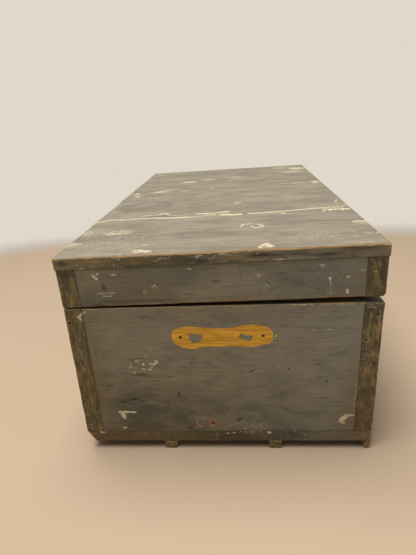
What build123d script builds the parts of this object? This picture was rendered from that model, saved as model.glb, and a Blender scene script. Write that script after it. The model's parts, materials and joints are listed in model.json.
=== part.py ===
"""A long, low wooden trunk of plain box work, its lid standing slightly ajar.

Millimetres, +Z up. X runs from the hinge side (-X) to the opening side (+X), and Y from the near
end, which has lost its handle, to the far end, which has kept it. The origin is on the floor, at
the middle of the trunk's footprint with the far handle counted in.
"""

from build123d import *

import os
from math import atan2, degrees

os.makedirs("parts", exist_ok=True)

# Box
width = 450.0
length = 810.0
wall_height = 219.5
lid_wall_height = 58.0
side_thick = 27.0
end_thick = 22.0
base_thick = 20.0
top_thick = 17.0
top_overhang = 1.2
saw_gap = 1.3
lid_ajar = 0.76
board_gap = 0.8
base_board_count = 4
top_joints = (209.0, 418.0, 630.0)

# Worn edges
top_edge_wear = 2.5
corner_wear = 1.5
grip_edge_wear = 4.0
break_at_top = 1.2
break_at_bottom = 12.6
break_depth = 45.0

# Runners under the base
runner_height = 15.0
runner_width = 21.0
edge_runner_width = 10.5
edge_runner_wear = 4.0
runner_places = (135.0, 303.0)
lost_runner_length = 160.0

# Cut nails
nail_head_long = 5.0
nail_head_wide = 3.4
nail_tip_long = 2.4
nail_tip_wide = 1.8
wall_nail_length = 55.0
top_nail_length = 45.0
base_nail_length = 50.0
runner_nail_length = 32.0
wall_nail_shares = (0.12, 0.38, 0.62, 0.88)
lid_nail_shares = (0.25, 0.75)
top_nail_shares = (0.28, 0.60, 0.91)
base_nail_shares = (0.25, 0.75)
runner_nail_shares = (0.04, 0.35, 0.65, 0.96)
end_nail_places = (62.0, 121.5, 289.0, 391.0)
top_nail_inset = 9.5

# Butt hinges
pin_stand = 5.0
hinge_pin_radius = 2.0
knuckle_radius = 4.0
pin_clearance = 0.06
leaf_length = 64.0
leaf_reach = 22.0
leaf_thick = 2.0
leaf_gap = 0.3
knuckle_count = 5
knuckle_gap = 0.4
knuckle_clearance = 0.5
hinge_from_end = 120.0

# Wood screws
screw_radius = 1.7
screw_head_radius = 3.3
screw_length = 16.0
screw_clearance = 0.05
screw_end_gap = 1.0
leaf_screw_pitch = 22.0

# Hasp and staple
hasp_width = 44.0
hasp_height = 36.0
hasp_thick = 2.0
hasp_stand = 0.4
hasp_pin_below_rim = 8.0
hasp_corner = 4.0
hasp_screw_pitch = 28.0
hasp_screw_rise = 20.0
strap_width = 30.0
strap_neck = 20.0
strap_length = 64.0
strap_thick = 2.0
strap_end_radius = 12.0
slot_from_pin = 41.5
slot_length = 30.0
slot_width = 7.0
staple_height = 28.2
staple_wire_radius = 2.25
staple_legs_apart = 14.0
staple_reach = 15.0
staple_depth = 20.0
staple_bend = 6.0

# Lifting handle
handle_height = 169.0
far_handle_height = 170.5
handle_plate_length = 146.0
handle_plate_height = 38.4
handle_plate_waist = 32.4
handle_plate_thick = 1.8
handle_plate_end_radius = 14.0
handle_lobe_pitch = 84.0
handle_screw_pitch = 119.5
handle_hole_radius = 2.5
handle_hole_depth = 18.0
handle_screw_radius = 2.4
handle_screw_head = 4.25
handle_screw_dome = 2.6
handle_screw_flat = 2.2
bail_radius = 3.5
bail_stand = 5.7
bail_drop = 42.0
bail_taper = 9.0
bail_bend = 6.0
bail_pin_past_eye = 2.0
eye_pitch = 73.0
eye_width = 14.0
eye_wall = 1.8
eye_clearance = 0.08
eye_foot = 18.0
window_width = 20.0
window_height = 13.0
window_corner = 2.0

# Places worked out from the sizes above
half_width = width / 2
inner_half_width = half_width - side_thick
handle_reach = bail_stand + bail_radius + eye_clearance + eye_wall
near_y = -(length + handle_reach) / 2
far_y = near_y + length
mid_y = (near_y + far_y) / 2
base_low = runner_height
base_top = base_low + base_thick
rim_z = base_top + wall_height
handle_z = base_top + handle_height
far_handle_z = base_top + far_handle_height

# Faces that pieces are drawn on, each with its normal pointing out of the trunk
near_face = Plane.XZ.offset(-near_y)
far_face = Plane((0, far_y, 0), x_dir=(-1, 0, 0), z_dir=(0, 1, 0))
opening_face = Plane.YZ.offset(half_width)
underside = Plane((0, 0, base_low), x_dir=(1, 0, 0), z_dir=(0, 0, -1))
floor_face = Plane((0, 0, 0), x_dir=(1, 0, 0), z_dir=(0, 0, -1))

# The lid is drawn in its own frame: origin on the hinge pins' axis, x across the trunk
pin_x = -half_width - pin_stand
pin_z = rim_z + saw_gap / 2
lid_frame = Plane((pin_x, 0, pin_z)).rotated((0, -lid_ajar, 0))
lid_low = saw_gap / 2
lid_board_low = lid_low + lid_wall_height
lid_left = pin_stand
lid_right = pin_stand + width
lid_middle = (lid_left + lid_right) / 2
lid_across = Axis((0, 0, 0), lid_frame.x_dir)
lid_up = Axis((0, 0, 0), lid_frame.z_dir)
lid_top_face = lid_frame.offset(lid_board_low + top_thick)
lid_mirror = Plane(
    lid_frame.from_local_coords(Vector(lid_middle, 0, 0)), x_dir=(0, 1, 0), z_dir=lid_frame.x_dir
)
lid_opening_face = lid_mirror.offset(half_width)


def save(piece, name):
    """Label a finished piece and write its STEP file."""
    piece.part.label = name
    export_step(piece.part, f"parts/{name}.step")


def cut_nails(face, points, nail_length):
    """Cut nails, tapered from head to tip, driven in flush with a face at points in its own axes."""
    with BuildPart() as nail:
        Wedge(
            nail_head_long,
            nail_length,
            nail_head_wide,
            (nail_head_long - nail_tip_long) / 2,
            (nail_head_wide - nail_tip_wide) / 2,
            (nail_head_long + nail_tip_long) / 2,
            (nail_head_wide + nail_tip_wide) / 2,
            rotation=(-90, 0, 0),
            align=(Align.CENTER, Align.MIN, Align.CENTER),
        )
    with BuildPart(face) as nails:
        with Locations(*points):
            add(nail.part)
    return nails


with BuildPart() as wood_screw:
    with BuildSketch(Plane.XZ):
        with BuildLine():
            Polyline(
                (0, -screw_clearance),
                (screw_head_radius, -screw_clearance),
                (screw_radius, screw_radius - screw_head_radius - screw_clearance),
                (screw_radius, -screw_length),
                (0, -screw_length),
                close=True,
            )
        make_face()
    revolve(axis=Axis.Z)


def wood_screws(face, points):
    """Countersunk screws in a face, at points in its own axes."""
    with BuildPart(face) as screws:
        with Locations(*points):
            add(wood_screw.part)
    return screws


# Nails first, because the boards are bored by them
end_ys = (near_y + end_thick / 2, far_y - end_thick / 2)
with BuildPart() as wall_nails:
    heads = [(y, base_top + share * wall_height) for y in end_ys for share in wall_nail_shares]
    add(cut_nails(opening_face, heads, wall_nail_length).part)
    mirror(about=Plane.YZ)

with BuildPart() as lid_corner_nails:
    heads = [(y, lid_low + share * lid_wall_height) for y in end_ys for share in lid_nail_shares]
    add(cut_nails(lid_opening_face, heads, wall_nail_length).part)
    mirror(about=lid_mirror)

top_edges = [near_y - top_overhang]
top_edges += [near_y + joint for joint in top_joints]
top_edges += [far_y + top_overhang]
top_spans = list(zip(top_edges[:-1], top_edges[1:]))
heads = []
for low, high in top_spans:
    for share in top_nail_shares:
        nail_y = low + share * (high - low)
        heads += [(lid_left + top_nail_inset, nail_y), (lid_right - top_nail_inset, nail_y)]
for nail_y in end_ys:
    heads += [(lid_left + place, nail_y) for place in end_nail_places]
lid_top_nails = cut_nails(lid_top_face, heads, top_nail_length)

base_pitch = (length + board_gap) / base_board_count
base_spans = [
    (near_y + i * base_pitch, near_y + (i + 1) * base_pitch - board_gap)
    for i in range(base_board_count)
]
side_nail_x = half_width - side_thick / 2
heads = []
for low, high in base_spans:
    for share in base_nail_shares:
        nail_y = low + share * (high - low)
        heads += [(-side_nail_x, -nail_y), (side_nail_x, -nail_y)]
for nail_y in end_ys:
    heads += [(share * inner_half_width, -nail_y) for share in (-0.6, 0.0, 0.6)]
base_nails = cut_nails(underside, heads, base_nail_length)

middle_runners = [place - half_width for place in runner_places]
edge_x = half_width - edge_runner_width / 2
lost_end_y = near_y + lost_runner_length
runner_rows = [(x, near_y) for x in middle_runners] + [(edge_x, near_y), (-edge_x, lost_end_y)]
heads = []
for runner_x, start_y in runner_rows:
    for share in runner_nail_shares:
        heads.append((runner_x, -(start_y + share * (far_y - start_y))))
runner_nails = cut_nails(floor_face, heads, runner_nail_length)

# Hinges: for each, a leaf let into the body, a leaf let into the lid, and the pin
hinge_ys = (near_y + hinge_from_end, far_y - hinge_from_end)
knuckle_pitch = leaf_length / knuckle_count
leaf_start = pin_stand - knuckle_clearance
leaf_middle = (leaf_start + pin_stand + leaf_reach) / 2
leaf_width = pin_stand + leaf_reach - leaf_start
leaf_screw_x = pin_stand + leaf_reach / 2 + 1
body_frame = Plane((pin_x, 0, pin_z))


def hinge_leaf(frame, middle, side, own_knuckles, face, points):
    """One leaf in a frame on the pin's axis, screwed through face at points.

    side is +1 for the lid's leaf, which lies above the axis, and -1 for the body's.
    """
    across = Plane(
        frame.from_local_coords(Vector(0, middle, 0)), x_dir=frame.x_dir, z_dir=(0, -1, 0)
    )
    leaf_z = side * (leaf_gap + leaf_thick) / 2
    with BuildPart() as leaf:
        with BuildSketch(across):
            with Locations((leaf_middle, leaf_z)):
                Rectangle(leaf_width, leaf_thick)
        extrude(amount=leaf_length / 2, both=True)
        for i in own_knuckles:
            from_middle = (i - (knuckle_count - 1) / 2) * knuckle_pitch
            with BuildSketch(across.offset(from_middle)):
                Circle(knuckle_radius)
                with Locations((leaf_start / 2, leaf_z)):
                    Rectangle(leaf_start, leaf_thick)
            extrude(amount=(knuckle_pitch - knuckle_gap) / 2, both=True)
        with BuildSketch(across):
            Circle(hinge_pin_radius + pin_clearance)
        extrude(amount=leaf_length, both=True, mode=Mode.SUBTRACT)
        bore_for_screws(face, points)
    return leaf


def hinge_screw_points(middle, mirrored):
    """Where a leaf's three screws go, in the axes of the face they are driven into."""
    rows = [middle + step * leaf_screw_pitch for step in (-1, 0, 1)]
    return [(leaf_screw_x, -y if mirrored else y) for y in rows]


body_leaf_face = Plane((pin_x, 0, pin_z - leaf_gap / 2))
lid_leaf_face = Plane(
    lid_frame.from_local_coords(Vector(0, 0, leaf_gap / 2)),
    x_dir=lid_frame.x_dir,
    z_dir=lid_frame.z_dir * -1,
)
body_points = [point for y in hinge_ys for point in hinge_screw_points(y, False)]
lid_points = [point for y in hinge_ys for point in hinge_screw_points(y, True)]
hinge_body_screws = wood_screws(body_leaf_face, body_points)
hinge_lid_screws = wood_screws(lid_leaf_face, lid_points)


def bore_for_screws(face, points):
    """Bore the part in hand for countersunk screws that are driven into a face."""
    with Locations(face):
        with Locations(*points):
            CounterSinkHole(
                screw_radius + screw_clearance,
                screw_head_radius + screw_clearance,
                depth=screw_length + screw_end_gap,
            )


for i, hinge_y in enumerate(hinge_ys, start=1):
    body_knuckles = range(0, knuckle_count, 2)
    lid_knuckles = range(1, knuckle_count, 2)
    body_leaf = hinge_leaf(
        body_frame, hinge_y, -1, body_knuckles, body_leaf_face, hinge_screw_points(hinge_y, False)
    )
    lid_leaf = hinge_leaf(
        lid_frame, hinge_y, 1, lid_knuckles, lid_leaf_face, hinge_screw_points(hinge_y, True)
    )
    save(body_leaf, f"hinge_{i}_body_leaf")
    save(lid_leaf, f"hinge_{i}_lid_leaf")
    with BuildPart() as hinge_pin:
        with BuildSketch(Plane.XZ.offset(-hinge_y)):
            with Locations((pin_x, pin_z)):
                Circle(hinge_pin_radius)
        extrude(amount=leaf_length / 2 + 1, both=True)
    save(hinge_pin, f"hinge_{i}_pin")
save(hinge_body_screws, "hinge_body_screws")
save(hinge_lid_screws, "hinge_lid_screws")

# Body: the two end boards, between the sides
near_handle_holes = [(side * handle_screw_pitch / 2, handle_z) for side in (-1, 1)]
far_handle_holes = [(side * handle_screw_pitch / 2, far_handle_z) for side in (-1, 1)]
for name, face, handle_holes in (
    ("near_end_board", near_face, near_handle_holes),
    ("far_end_board", far_face, far_handle_holes),
):
    with BuildPart() as end_board:
        with BuildSketch(face):
            with Locations((0, (base_top + rim_z) / 2)):
                Rectangle(2 * inner_half_width, wall_height)
        extrude(amount=-end_thick)
        outer_edges = end_board.edges().filter_by(Axis.X).group_by(Axis.Z)[-1]
        fillet(outer_edges, corner_wear)
        add(wall_nails.part, mode=Mode.SUBTRACT)
        add(base_nails.part, mode=Mode.SUBTRACT)
        with Locations(face):
            with Locations(*handle_holes):
                Hole(handle_hole_radius, depth=handle_hole_depth)
    save(end_board, name)

# Body: the hinge side, with a pocket for each hinge leaf
pocket_low = pin_z - leaf_gap / 2 - leaf_thick
with BuildPart() as hinge_side_board:
    with BuildSketch(Plane.YZ.offset(-half_width)):
        with Locations((mid_y, (base_top + rim_z) / 2)):
            Rectangle(length, wall_height)
    extrude(amount=side_thick)
    corners = hinge_side_board.edges().filter_by(Axis.Z).group_by(Axis.X)[0]
    fillet(corners, corner_wear)
    with BuildSketch(Plane.XY.offset(pocket_low)):
        with Locations(*[(-half_width + leaf_reach / 2, y) for y in hinge_ys]):
            Rectangle(leaf_reach, leaf_length)
    extrude(amount=leaf_thick, mode=Mode.SUBTRACT)
    bore_for_screws(body_leaf_face, body_points)
    for nails in (wall_nails, base_nails):
        add(nails.part, mode=Mode.SUBTRACT)
save(hinge_side_board, "hinge_side_board")

# Hasp: the plate and its knuckles, on the opening side just under the saw cut
hasp_pin_x = half_width + hasp_stand + knuckle_radius
hasp_pin_z = rim_z - hasp_pin_below_rim
hasp_top = hasp_pin_z - knuckle_radius - knuckle_clearance
hasp_low = hasp_top - hasp_height
side_knuckle = (hasp_width - strap_neck) / 2 - knuckle_gap
side_knuckle_y = strap_neck / 2 + knuckle_gap + side_knuckle / 2
hasp_across = Plane.XZ.offset(-mid_y)
hasp_points = [
    (mid_y + y * hasp_screw_pitch / 2, (hasp_low + hasp_top) / 2 + z * hasp_screw_rise / 2)
    for y in (-1, 1)
    for z in (-1, 1)
]
hasp_face = opening_face.offset(hasp_thick)
with BuildPart() as hasp_plate:
    with BuildSketch(opening_face):
        with Locations((mid_y, (hasp_low + hasp_top) / 2)):
            Rectangle(hasp_width, hasp_height)
    extrude(amount=hasp_thick)
    low_corners = hasp_plate.edges().filter_by(Axis.X).group_by(Axis.Z)[0]
    fillet(low_corners, hasp_corner)
    for side in (-1, 1):
        with BuildSketch(hasp_across.offset(side * side_knuckle_y)):
            with Locations((hasp_pin_x, hasp_pin_z)):
                Circle(knuckle_radius)
            with Locations((half_width + hasp_thick / 2, (hasp_top + hasp_pin_z) / 2)):
                Rectangle(hasp_thick, hasp_pin_z - hasp_top)
        extrude(amount=side_knuckle / 2, both=True)
    with BuildSketch(hasp_across):
        with Locations((hasp_pin_x, hasp_pin_z)):
            Circle(hinge_pin_radius + pin_clearance)
    extrude(amount=hasp_width, both=True, mode=Mode.SUBTRACT)
    bore_for_screws(hasp_face, hasp_points)
save(hasp_plate, "hasp_plate")

hasp_screws = wood_screws(hasp_face, hasp_points)
save(hasp_screws, "hasp_screws")

with BuildPart() as hasp_pin:
    with BuildSketch(hasp_across):
        with Locations((hasp_pin_x, hasp_pin_z)):
            Circle(hinge_pin_radius)
    extrude(amount=hasp_width / 2 + 1, both=True)
save(hasp_pin, "hasp_pin")

# Hasp: the strap, hanging open in front of its plate
strap_plane = Plane.YZ.offset(hasp_pin_x + knuckle_radius - strap_thick)
neck_length = knuckle_radius + knuckle_clearance + 1
with BuildPart() as hasp_strap:
    with BuildSketch(strap_plane):
        with Locations((mid_y, hasp_pin_z - neck_length / 2)):
            Rectangle(strap_neck, neck_length)
        with Locations((mid_y, hasp_pin_z - (neck_length + strap_length) / 2)):
            strap_body = Rectangle(strap_width, strap_length - neck_length)
        fillet(strap_body.vertices().group_by(Axis.Y)[0], strap_end_radius)
        with Locations((mid_y, hasp_pin_z - slot_from_pin)):
            SlotOverall(slot_length, slot_width, rotation=90, mode=Mode.SUBTRACT)
    extrude(amount=strap_thick)
    with BuildSketch(hasp_across):
        with Locations((hasp_pin_x, hasp_pin_z)):
            Circle(knuckle_radius)
    extrude(amount=strap_neck / 2, both=True)
    with BuildSketch(hasp_across):
        with Locations((hasp_pin_x, hasp_pin_z)):
            Circle(hinge_pin_radius + pin_clearance)
    extrude(amount=strap_neck, both=True, mode=Mode.SUBTRACT)
save(hasp_strap, "hasp_strap")

# Body: the opening side
with BuildPart() as opening_side_board:
    with BuildSketch(Plane.YZ.offset(inner_half_width)):
        with Locations((mid_y, (base_top + rim_z) / 2)):
            Rectangle(length, wall_height)
    extrude(amount=side_thick)
    top_edge = opening_side_board.edges().filter_by(Axis.Y).group_by(Axis.Z)[-1].sort_by(Axis.X)[-1]
    fillet(top_edge, grip_edge_wear)
    corners = opening_side_board.edges().filter_by(Axis.Z).group_by(Axis.X)[-1]
    fillet(corners, corner_wear)
    bore_for_screws(hasp_face, hasp_points)
    for nails in (wall_nails, base_nails):
        add(nails.part, mode=Mode.SUBTRACT)
save(opening_side_board, "opening_side_board")

# Base boards, laid across; the near one has lost its lower hinge side corner
for i, (low, high) in enumerate(base_spans, start=1):
    with BuildPart() as base_board:
        with BuildSketch(Plane.XY.offset(base_low)):
            with Locations((0, (low + high) / 2)):
                Rectangle(width, high - low)
        extrude(amount=base_thick)
        if i == 1:
            near_top = Vector(-half_width + break_at_top, near_y, base_top)
            near_bottom = Vector(-half_width + break_at_bottom, near_y, base_low)
            back = Vector(-half_width, near_y + break_depth, base_low + base_thick / 2)
            broken = Plane(near_top, z_dir=(back - near_top).cross(near_bottom - near_top))
            split(bisect_by=broken, keep=Keep.BOTTOM)
        for nails in (base_nails, runner_nails):
            add(nails.part, mode=Mode.SUBTRACT)
    save(base_board, f"base_board_{i}")

# Runners, lengthwise under the base
for i, runner_x in enumerate(middle_runners, start=1):
    with BuildPart() as runner:
        with BuildSketch(Plane.XY):
            with Locations((runner_x, mid_y)):
                Rectangle(runner_width, length)
        extrude(amount=runner_height)
        add(runner_nails.part, mode=Mode.SUBTRACT)
    save(runner, f"middle_runner_{i}")

for name, side, start_y in (
    ("opening_side_runner", 1, near_y),
    ("hinge_side_runner", -1, lost_end_y),
):
    with BuildPart() as runner:
        with BuildSketch(Plane.XY):
            with Locations((side * edge_x, (start_y + far_y) / 2)):
                Rectangle(edge_runner_width, far_y - start_y)
        extrude(amount=runner_height)
        low_edges = runner.edges().filter_by(Axis.Y).group_by(Axis.Z)[0]
        fillet(low_edges.sort_by(Axis.X)[-1 if side > 0 else 0], edge_runner_wear)
        add(runner_nails.part, mode=Mode.SUBTRACT)
    save(runner, name)

# Lid: the near and far rim boards, between the sides
for name, low in (("lid_near_rim", near_y), ("lid_far_rim", far_y - end_thick)):
    with BuildPart() as end_rim:
        with BuildSketch(lid_frame.offset(lid_low)):
            with Locations((lid_middle, low + end_thick / 2)):
                Rectangle(2 * inner_half_width, end_thick)
        extrude(amount=lid_wall_height)
        for nails in (lid_corner_nails, lid_top_nails):
            add(nails.part, mode=Mode.SUBTRACT)
    save(end_rim, name)

# Lid: the hinge side rim, with a pocket for each hinge leaf
lid_pocket_low = lid_frame.offset(leaf_gap / 2)
with BuildPart() as lid_hinge_rim:
    with BuildSketch(lid_frame.offset(lid_low)):
        with Locations((lid_left + side_thick / 2, mid_y)):
            Rectangle(side_thick, length)
    extrude(amount=lid_wall_height)
    corners = lid_hinge_rim.edges().filter_by(lid_up).group_by(lid_across)[0]
    fillet(corners, corner_wear)
    with BuildSketch(lid_pocket_low):
        with Locations(*[(lid_left + leaf_reach / 2, y) for y in hinge_ys]):
            Rectangle(leaf_reach, leaf_length)
    extrude(amount=leaf_thick, mode=Mode.SUBTRACT)
    bore_for_screws(lid_leaf_face, lid_points)
    for nails in (lid_corner_nails, lid_top_nails):
        add(nails.part, mode=Mode.SUBTRACT)
save(lid_hinge_rim, "lid_hinge_rim")

# Lid: the opening side rim, with the staple's two holes
staple_z = lid_low + staple_height
leg_points = [(mid_y, staple_z - staple_legs_apart / 2), (mid_y, staple_z + staple_legs_apart / 2)]
with BuildPart() as lid_opening_rim:
    with BuildSketch(lid_frame.offset(lid_low)):
        with Locations((lid_right - side_thick / 2, mid_y)):
            Rectangle(side_thick, length)
    extrude(amount=lid_wall_height)
    low_edges = lid_opening_rim.edges().filter_by(Axis.Y).group_by(lid_up)[0]
    fillet(low_edges.sort_by(lid_across)[-1], grip_edge_wear)
    corners = lid_opening_rim.edges().filter_by(lid_up).group_by(lid_across)[-1]
    fillet(corners, corner_wear)
    with Locations(lid_opening_face):
        with Locations(*leg_points):
            Hole(staple_wire_radius + screw_clearance, depth=staple_depth + screw_end_gap)
    for nails in (lid_corner_nails, lid_top_nails):
        add(nails.part, mode=Mode.SUBTRACT)
save(lid_opening_rim, "lid_opening_rim")

staple_plane = Plane(
    lid_opening_face.from_local_coords(Vector(mid_y, staple_z, 0)),
    x_dir=lid_frame.x_dir,
    z_dir=(0, -1, 0),
)
leg = staple_legs_apart / 2
crown = staple_reach - staple_wire_radius
with BuildPart() as staple:
    with BuildLine(staple_plane):
        wire = FilletPolyline(
            (-staple_depth, -leg), (crown, -leg), (crown, leg), (-staple_depth, leg), radius=staple_bend
        )
    with BuildSketch(Plane(wire @ 0, z_dir=wire % 0)):
        Circle(staple_wire_radius)
    sweep(path=wire)
save(staple, "staple")

# Lid: the top boards, laid across
for i, (low, high) in enumerate(top_spans, start=1):
    first = i == 1
    last = i == len(top_spans)
    with BuildPart() as top_board:
        depth = high - low - (0 if last else board_gap)
        with BuildSketch(lid_frame.offset(lid_board_low)):
            with Locations((lid_middle, low + depth / 2)):
                Rectangle(width + 2 * top_overhang, depth)
        extrude(amount=top_thick)
        top_edge_ring = top_board.faces().sort_by(lid_up)[-1].edges()
        worn = top_edge_ring.filter_by(Axis.Y)
        if first or last:
            worn += [top_edge_ring.filter_by(lid_across).sort_by(Axis.Y)[0 if first else -1]]
        fillet(worn, top_edge_wear)
        add(lid_top_nails.part, mode=Mode.SUBTRACT)
    save(top_board, f"lid_top_board_{i}")

# Handle: a dog-bone plate with two pressed-out eyes over its windows
handle_plane = Plane((0, far_y, far_handle_z), x_dir=(-1, 0, 0), z_dir=(0, 1, 0))
lobe = Vector(handle_lobe_pitch / 2, handle_plate_height / 2)
waist = Vector(0, handle_plate_waist / 2)
end_centre_x = handle_plate_length / 2 - handle_plate_end_radius
# The shoulder's arc runs level off the lobe and passes smoothly into the end's
shoulder_rise = lobe.Y - handle_plate_end_radius
shoulder_radius = handle_plate_end_radius + (
    (end_centre_x - lobe.X) ** 2 + shoulder_rise**2
) / (2 * shoulder_rise)
shoulder_turn = atan2(end_centre_x - lobe.X, shoulder_radius - lobe.Y)
with BuildPart() as handle_plate:
    with BuildSketch(handle_plane):
        with BuildLine():
            rise = TangentArc(waist, (waist + lobe) / 2, tangent=(1, 0))
            TangentArc(rise @ 1, lobe, tangent=rise % 1)
            shoulder = JernArc(lobe, (1, 0), shoulder_radius, -degrees(shoulder_turn))
            JernArc(
                shoulder @ 1,
                shoulder % 1,
                handle_plate_end_radius,
                degrees(shoulder_turn) - 90,
            )
            mirror(about=Plane.XZ)
            mirror(about=Plane.YZ)
        make_face()
    extrude(amount=handle_plate_thick)
    for side in (-1, 1):
        eye_plane = Plane(
            (side * eye_pitch / 2, far_y, far_handle_z), x_dir=(0, 1, 0), z_dir=(1, 0, 0)
        )
        with BuildSketch(eye_plane):
            with Locations((bail_stand, 0)):
                Circle(bail_radius + eye_clearance + eye_wall)
            with Locations((handle_plate_thick / 2, 0)):
                Rectangle(handle_plate_thick, eye_foot)
            make_hull()
        extrude(amount=eye_width / 2, both=True)
        with BuildSketch(handle_plane):
            with Locations((side * eye_pitch / 2, 0)):
                RectangleRounded(window_width, window_height, window_corner)
        extrude(amount=handle_plate_thick, mode=Mode.SUBTRACT)
        with BuildSketch(eye_plane):
            with Locations((bail_stand, 0)):
                Circle(bail_radius + eye_clearance)
            with Locations((handle_plate_thick / 2, 0)):
                Rectangle(handle_plate_thick, window_height)
            make_hull()
        extrude(amount=eye_width / 2, both=True, mode=Mode.SUBTRACT)
    with Locations(far_face.offset(handle_plate_thick)):
        with Locations(*far_handle_holes):
            Hole(handle_hole_radius, depth=handle_plate_thick)
save(handle_plate, "handle_plate")

with BuildPart(far_face.offset(handle_plate_thick)) as handle_screws:
    with Locations(*far_handle_holes):
        Cone(
            handle_screw_head,
            handle_screw_flat,
            handle_screw_dome,
            align=(Align.CENTER, Align.CENTER, Align.MIN),
        )
        Cylinder(
            handle_screw_radius, handle_hole_depth, align=(Align.CENTER, Align.CENTER, Align.MAX)
        )
save(handle_screws, "handle_screws")

pin_end = eye_pitch / 2 - eye_width / 2 - bail_pin_past_eye
leg_x = eye_pitch / 2 + eye_width / 2 + 1 + bail_bend
grip_x = leg_x - bail_taper
with BuildPart() as handle_bail:
    with BuildLine(handle_plane.offset(bail_stand)):
        rod = FilletPolyline(
            (-pin_end, 0),
            (-leg_x, 0),
            (-grip_x, -bail_drop),
            (grip_x, -bail_drop),
            (leg_x, 0),
            (pin_end, 0),
            radius=bail_bend,
        )
    with BuildSketch(Plane(rod @ 0, z_dir=rod % 0)):
        Circle(bail_radius)
    sweep(path=rod)
save(handle_bail, "handle_bail")

for nails, name in (
    (wall_nails, "wall_nails"),
    (lid_corner_nails, "lid_corner_nails"),
    (lid_top_nails, "lid_top_nails"),
    (base_nails, "base_nails"),
    (runner_nails, "runner_nails"),
):
    save(nails, name)

print("pin axis x, z:", pin_x, pin_z, " near y, far y:", near_y, far_y)
print("rim z:", rim_z, " lid tilt:", lid_ajar, " handle z:", handle_z)
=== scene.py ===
# %% [markdown]
# # A grey painted pine trunk
# The imported CAD model gives every board, nail and hinge its place and size. This notebook
# gives them their looks: boards with worn edges, old grey paint over pine, and rusty iron.
# The CAD model is loaded first and never moved, and the dressed trunk stays inside its box.
# The dressed trunk has to stay inside it.

# %% Load the frame
import json
import math
from types import SimpleNamespace

import bmesh
import bpy
import numpy as np
from mathutils import Matrix, Vector


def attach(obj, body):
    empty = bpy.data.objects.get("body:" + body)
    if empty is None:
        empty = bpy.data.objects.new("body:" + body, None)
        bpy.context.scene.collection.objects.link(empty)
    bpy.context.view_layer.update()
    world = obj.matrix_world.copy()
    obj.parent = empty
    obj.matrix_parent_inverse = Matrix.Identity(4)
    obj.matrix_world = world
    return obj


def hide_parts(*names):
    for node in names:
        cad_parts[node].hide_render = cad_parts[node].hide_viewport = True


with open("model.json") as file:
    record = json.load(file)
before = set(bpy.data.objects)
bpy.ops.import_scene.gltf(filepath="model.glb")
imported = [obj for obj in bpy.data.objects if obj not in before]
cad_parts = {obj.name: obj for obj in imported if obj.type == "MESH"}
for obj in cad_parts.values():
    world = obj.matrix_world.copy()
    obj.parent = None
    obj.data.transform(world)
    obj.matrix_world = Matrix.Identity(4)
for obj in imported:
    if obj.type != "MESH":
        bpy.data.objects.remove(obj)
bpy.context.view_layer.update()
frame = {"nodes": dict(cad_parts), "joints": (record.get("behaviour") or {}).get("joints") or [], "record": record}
record = frame["record"]
mm = 0.001

# %% [markdown]
# ## Camera
# The photograph looks along the trunk from its near end, slightly from above. Its view was
# worked out from the corners of the box. Blender counts the sensor's width along the picture's
# longer side, so the focal length in pixels turns into millimetres by that side.

# %% Camera
LONGER_SIDE_PIXELS = 555
FOCAL_PIXELS = 426.5
camera_data = bpy.data.cameras.new("camera")
camera_data.sensor_width = 36
camera_data.lens = FOCAL_PIXELS * camera_data.sensor_width / LONGER_SIDE_PIXELS
camera_data.clip_start = 0.05
camera = bpy.data.objects.new("camera", camera_data)
camera.location = (0.0305, -0.9482, 0.5095)
camera.rotation_euler = [math.radians(turn) for turn in (68.448, 3.192, 3.477)]
bpy.context.scene.collection.objects.link(camera)
bpy.context.scene.camera = camera
bpy.context.scene.view_settings.view_transform = "Standard"
print("lens in millimetres:", round(camera_data.lens, 2))

# %% [markdown]
# ## Two frames to work in
# The lid stands open by less than a degree, so its boards aren't square to the world. They are
# easier to make in the lid's own frame, on the hinge pins' axis, and turned into place at the
# end. The record holds that axis, and the lid's tilt shows in the direction of its top.

# %% Frames of the chest and the lid
lid_hinge = next(j for j in frame["joints"] if j["name"] == "lid_hinge")
lid_normal = next(m["axis"] for m in record["mounts"] if m["name"] == "lid_top")
lid_tilt = math.asin(-lid_normal[0])
PLACES = {
    "chest": Matrix.Identity(4),
    "lid": Matrix.Translation(lid_hinge["pos_m"]) @ Matrix.Rotation(-lid_tilt, 4, "Y"),
}


def node_points(node, body):
    """A CAD node's vertices, measured in its body's frame."""
    points = np.array([v.co for v in frame["nodes"][node].data.vertices])
    back = np.array(PLACES[body].inverted())
    return points @ back[:3, :3].T + back[:3, 3]


def box_in(node, body):
    """A CAD node's lowest and highest corners, measured in its body's frame."""
    points = node_points(node, body)
    return points.min(0), points.max(0)


base_low, base_high = box_in("base_board_1", "chest")
trunk_wide = base_high[0] - base_low[0]
near_y = base_low[1]
print("lid tilt in degrees:", round(math.degrees(lid_tilt), 2), " trunk width:", round(trunk_wide, 4))

# %% [markdown]
# ## Chance that repeats
# Wear is uneven, but it has to come out the same on every run. This noise takes its values
# from whole-number corners of a grid in space, scrambled with a seed, and blends between them.
# It works on all the points of a board at once.

# %% Seeded noise
CORNER_PRIMES = np.array([73856093, 19349663, 83492791])
SCRAMBLE = 1274126177
SEED_STEP = 2654435


def drift(points, size, seed):
    """Smooth noise between -1 and 1 at each point, with waves about size metres long."""
    scaled = np.asarray(points, float) / size
    cell = np.floor(scaled).astype(np.int64)
    part = scaled - cell
    part = part * part * (3 - 2 * part)
    total = np.zeros(len(scaled))
    for corner in np.ndindex(2, 2, 2):
        key = (cell + np.array(corner)) @ CORNER_PRIMES + seed * SEED_STEP
        key = ((key & 0xFFFFFFFF) ^ ((key & 0xFFFFFFFF) >> 13)) * SCRAMBLE
        key = (key & 0xFFFFFFFF) ^ ((key & 0xFFFFFFFF) >> 16)
        value = (key & 0xFFFF) / 0x7FFF - 1
        total += value * np.prod(np.where(corner, part, 1 - part), axis=1)
    return total


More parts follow.
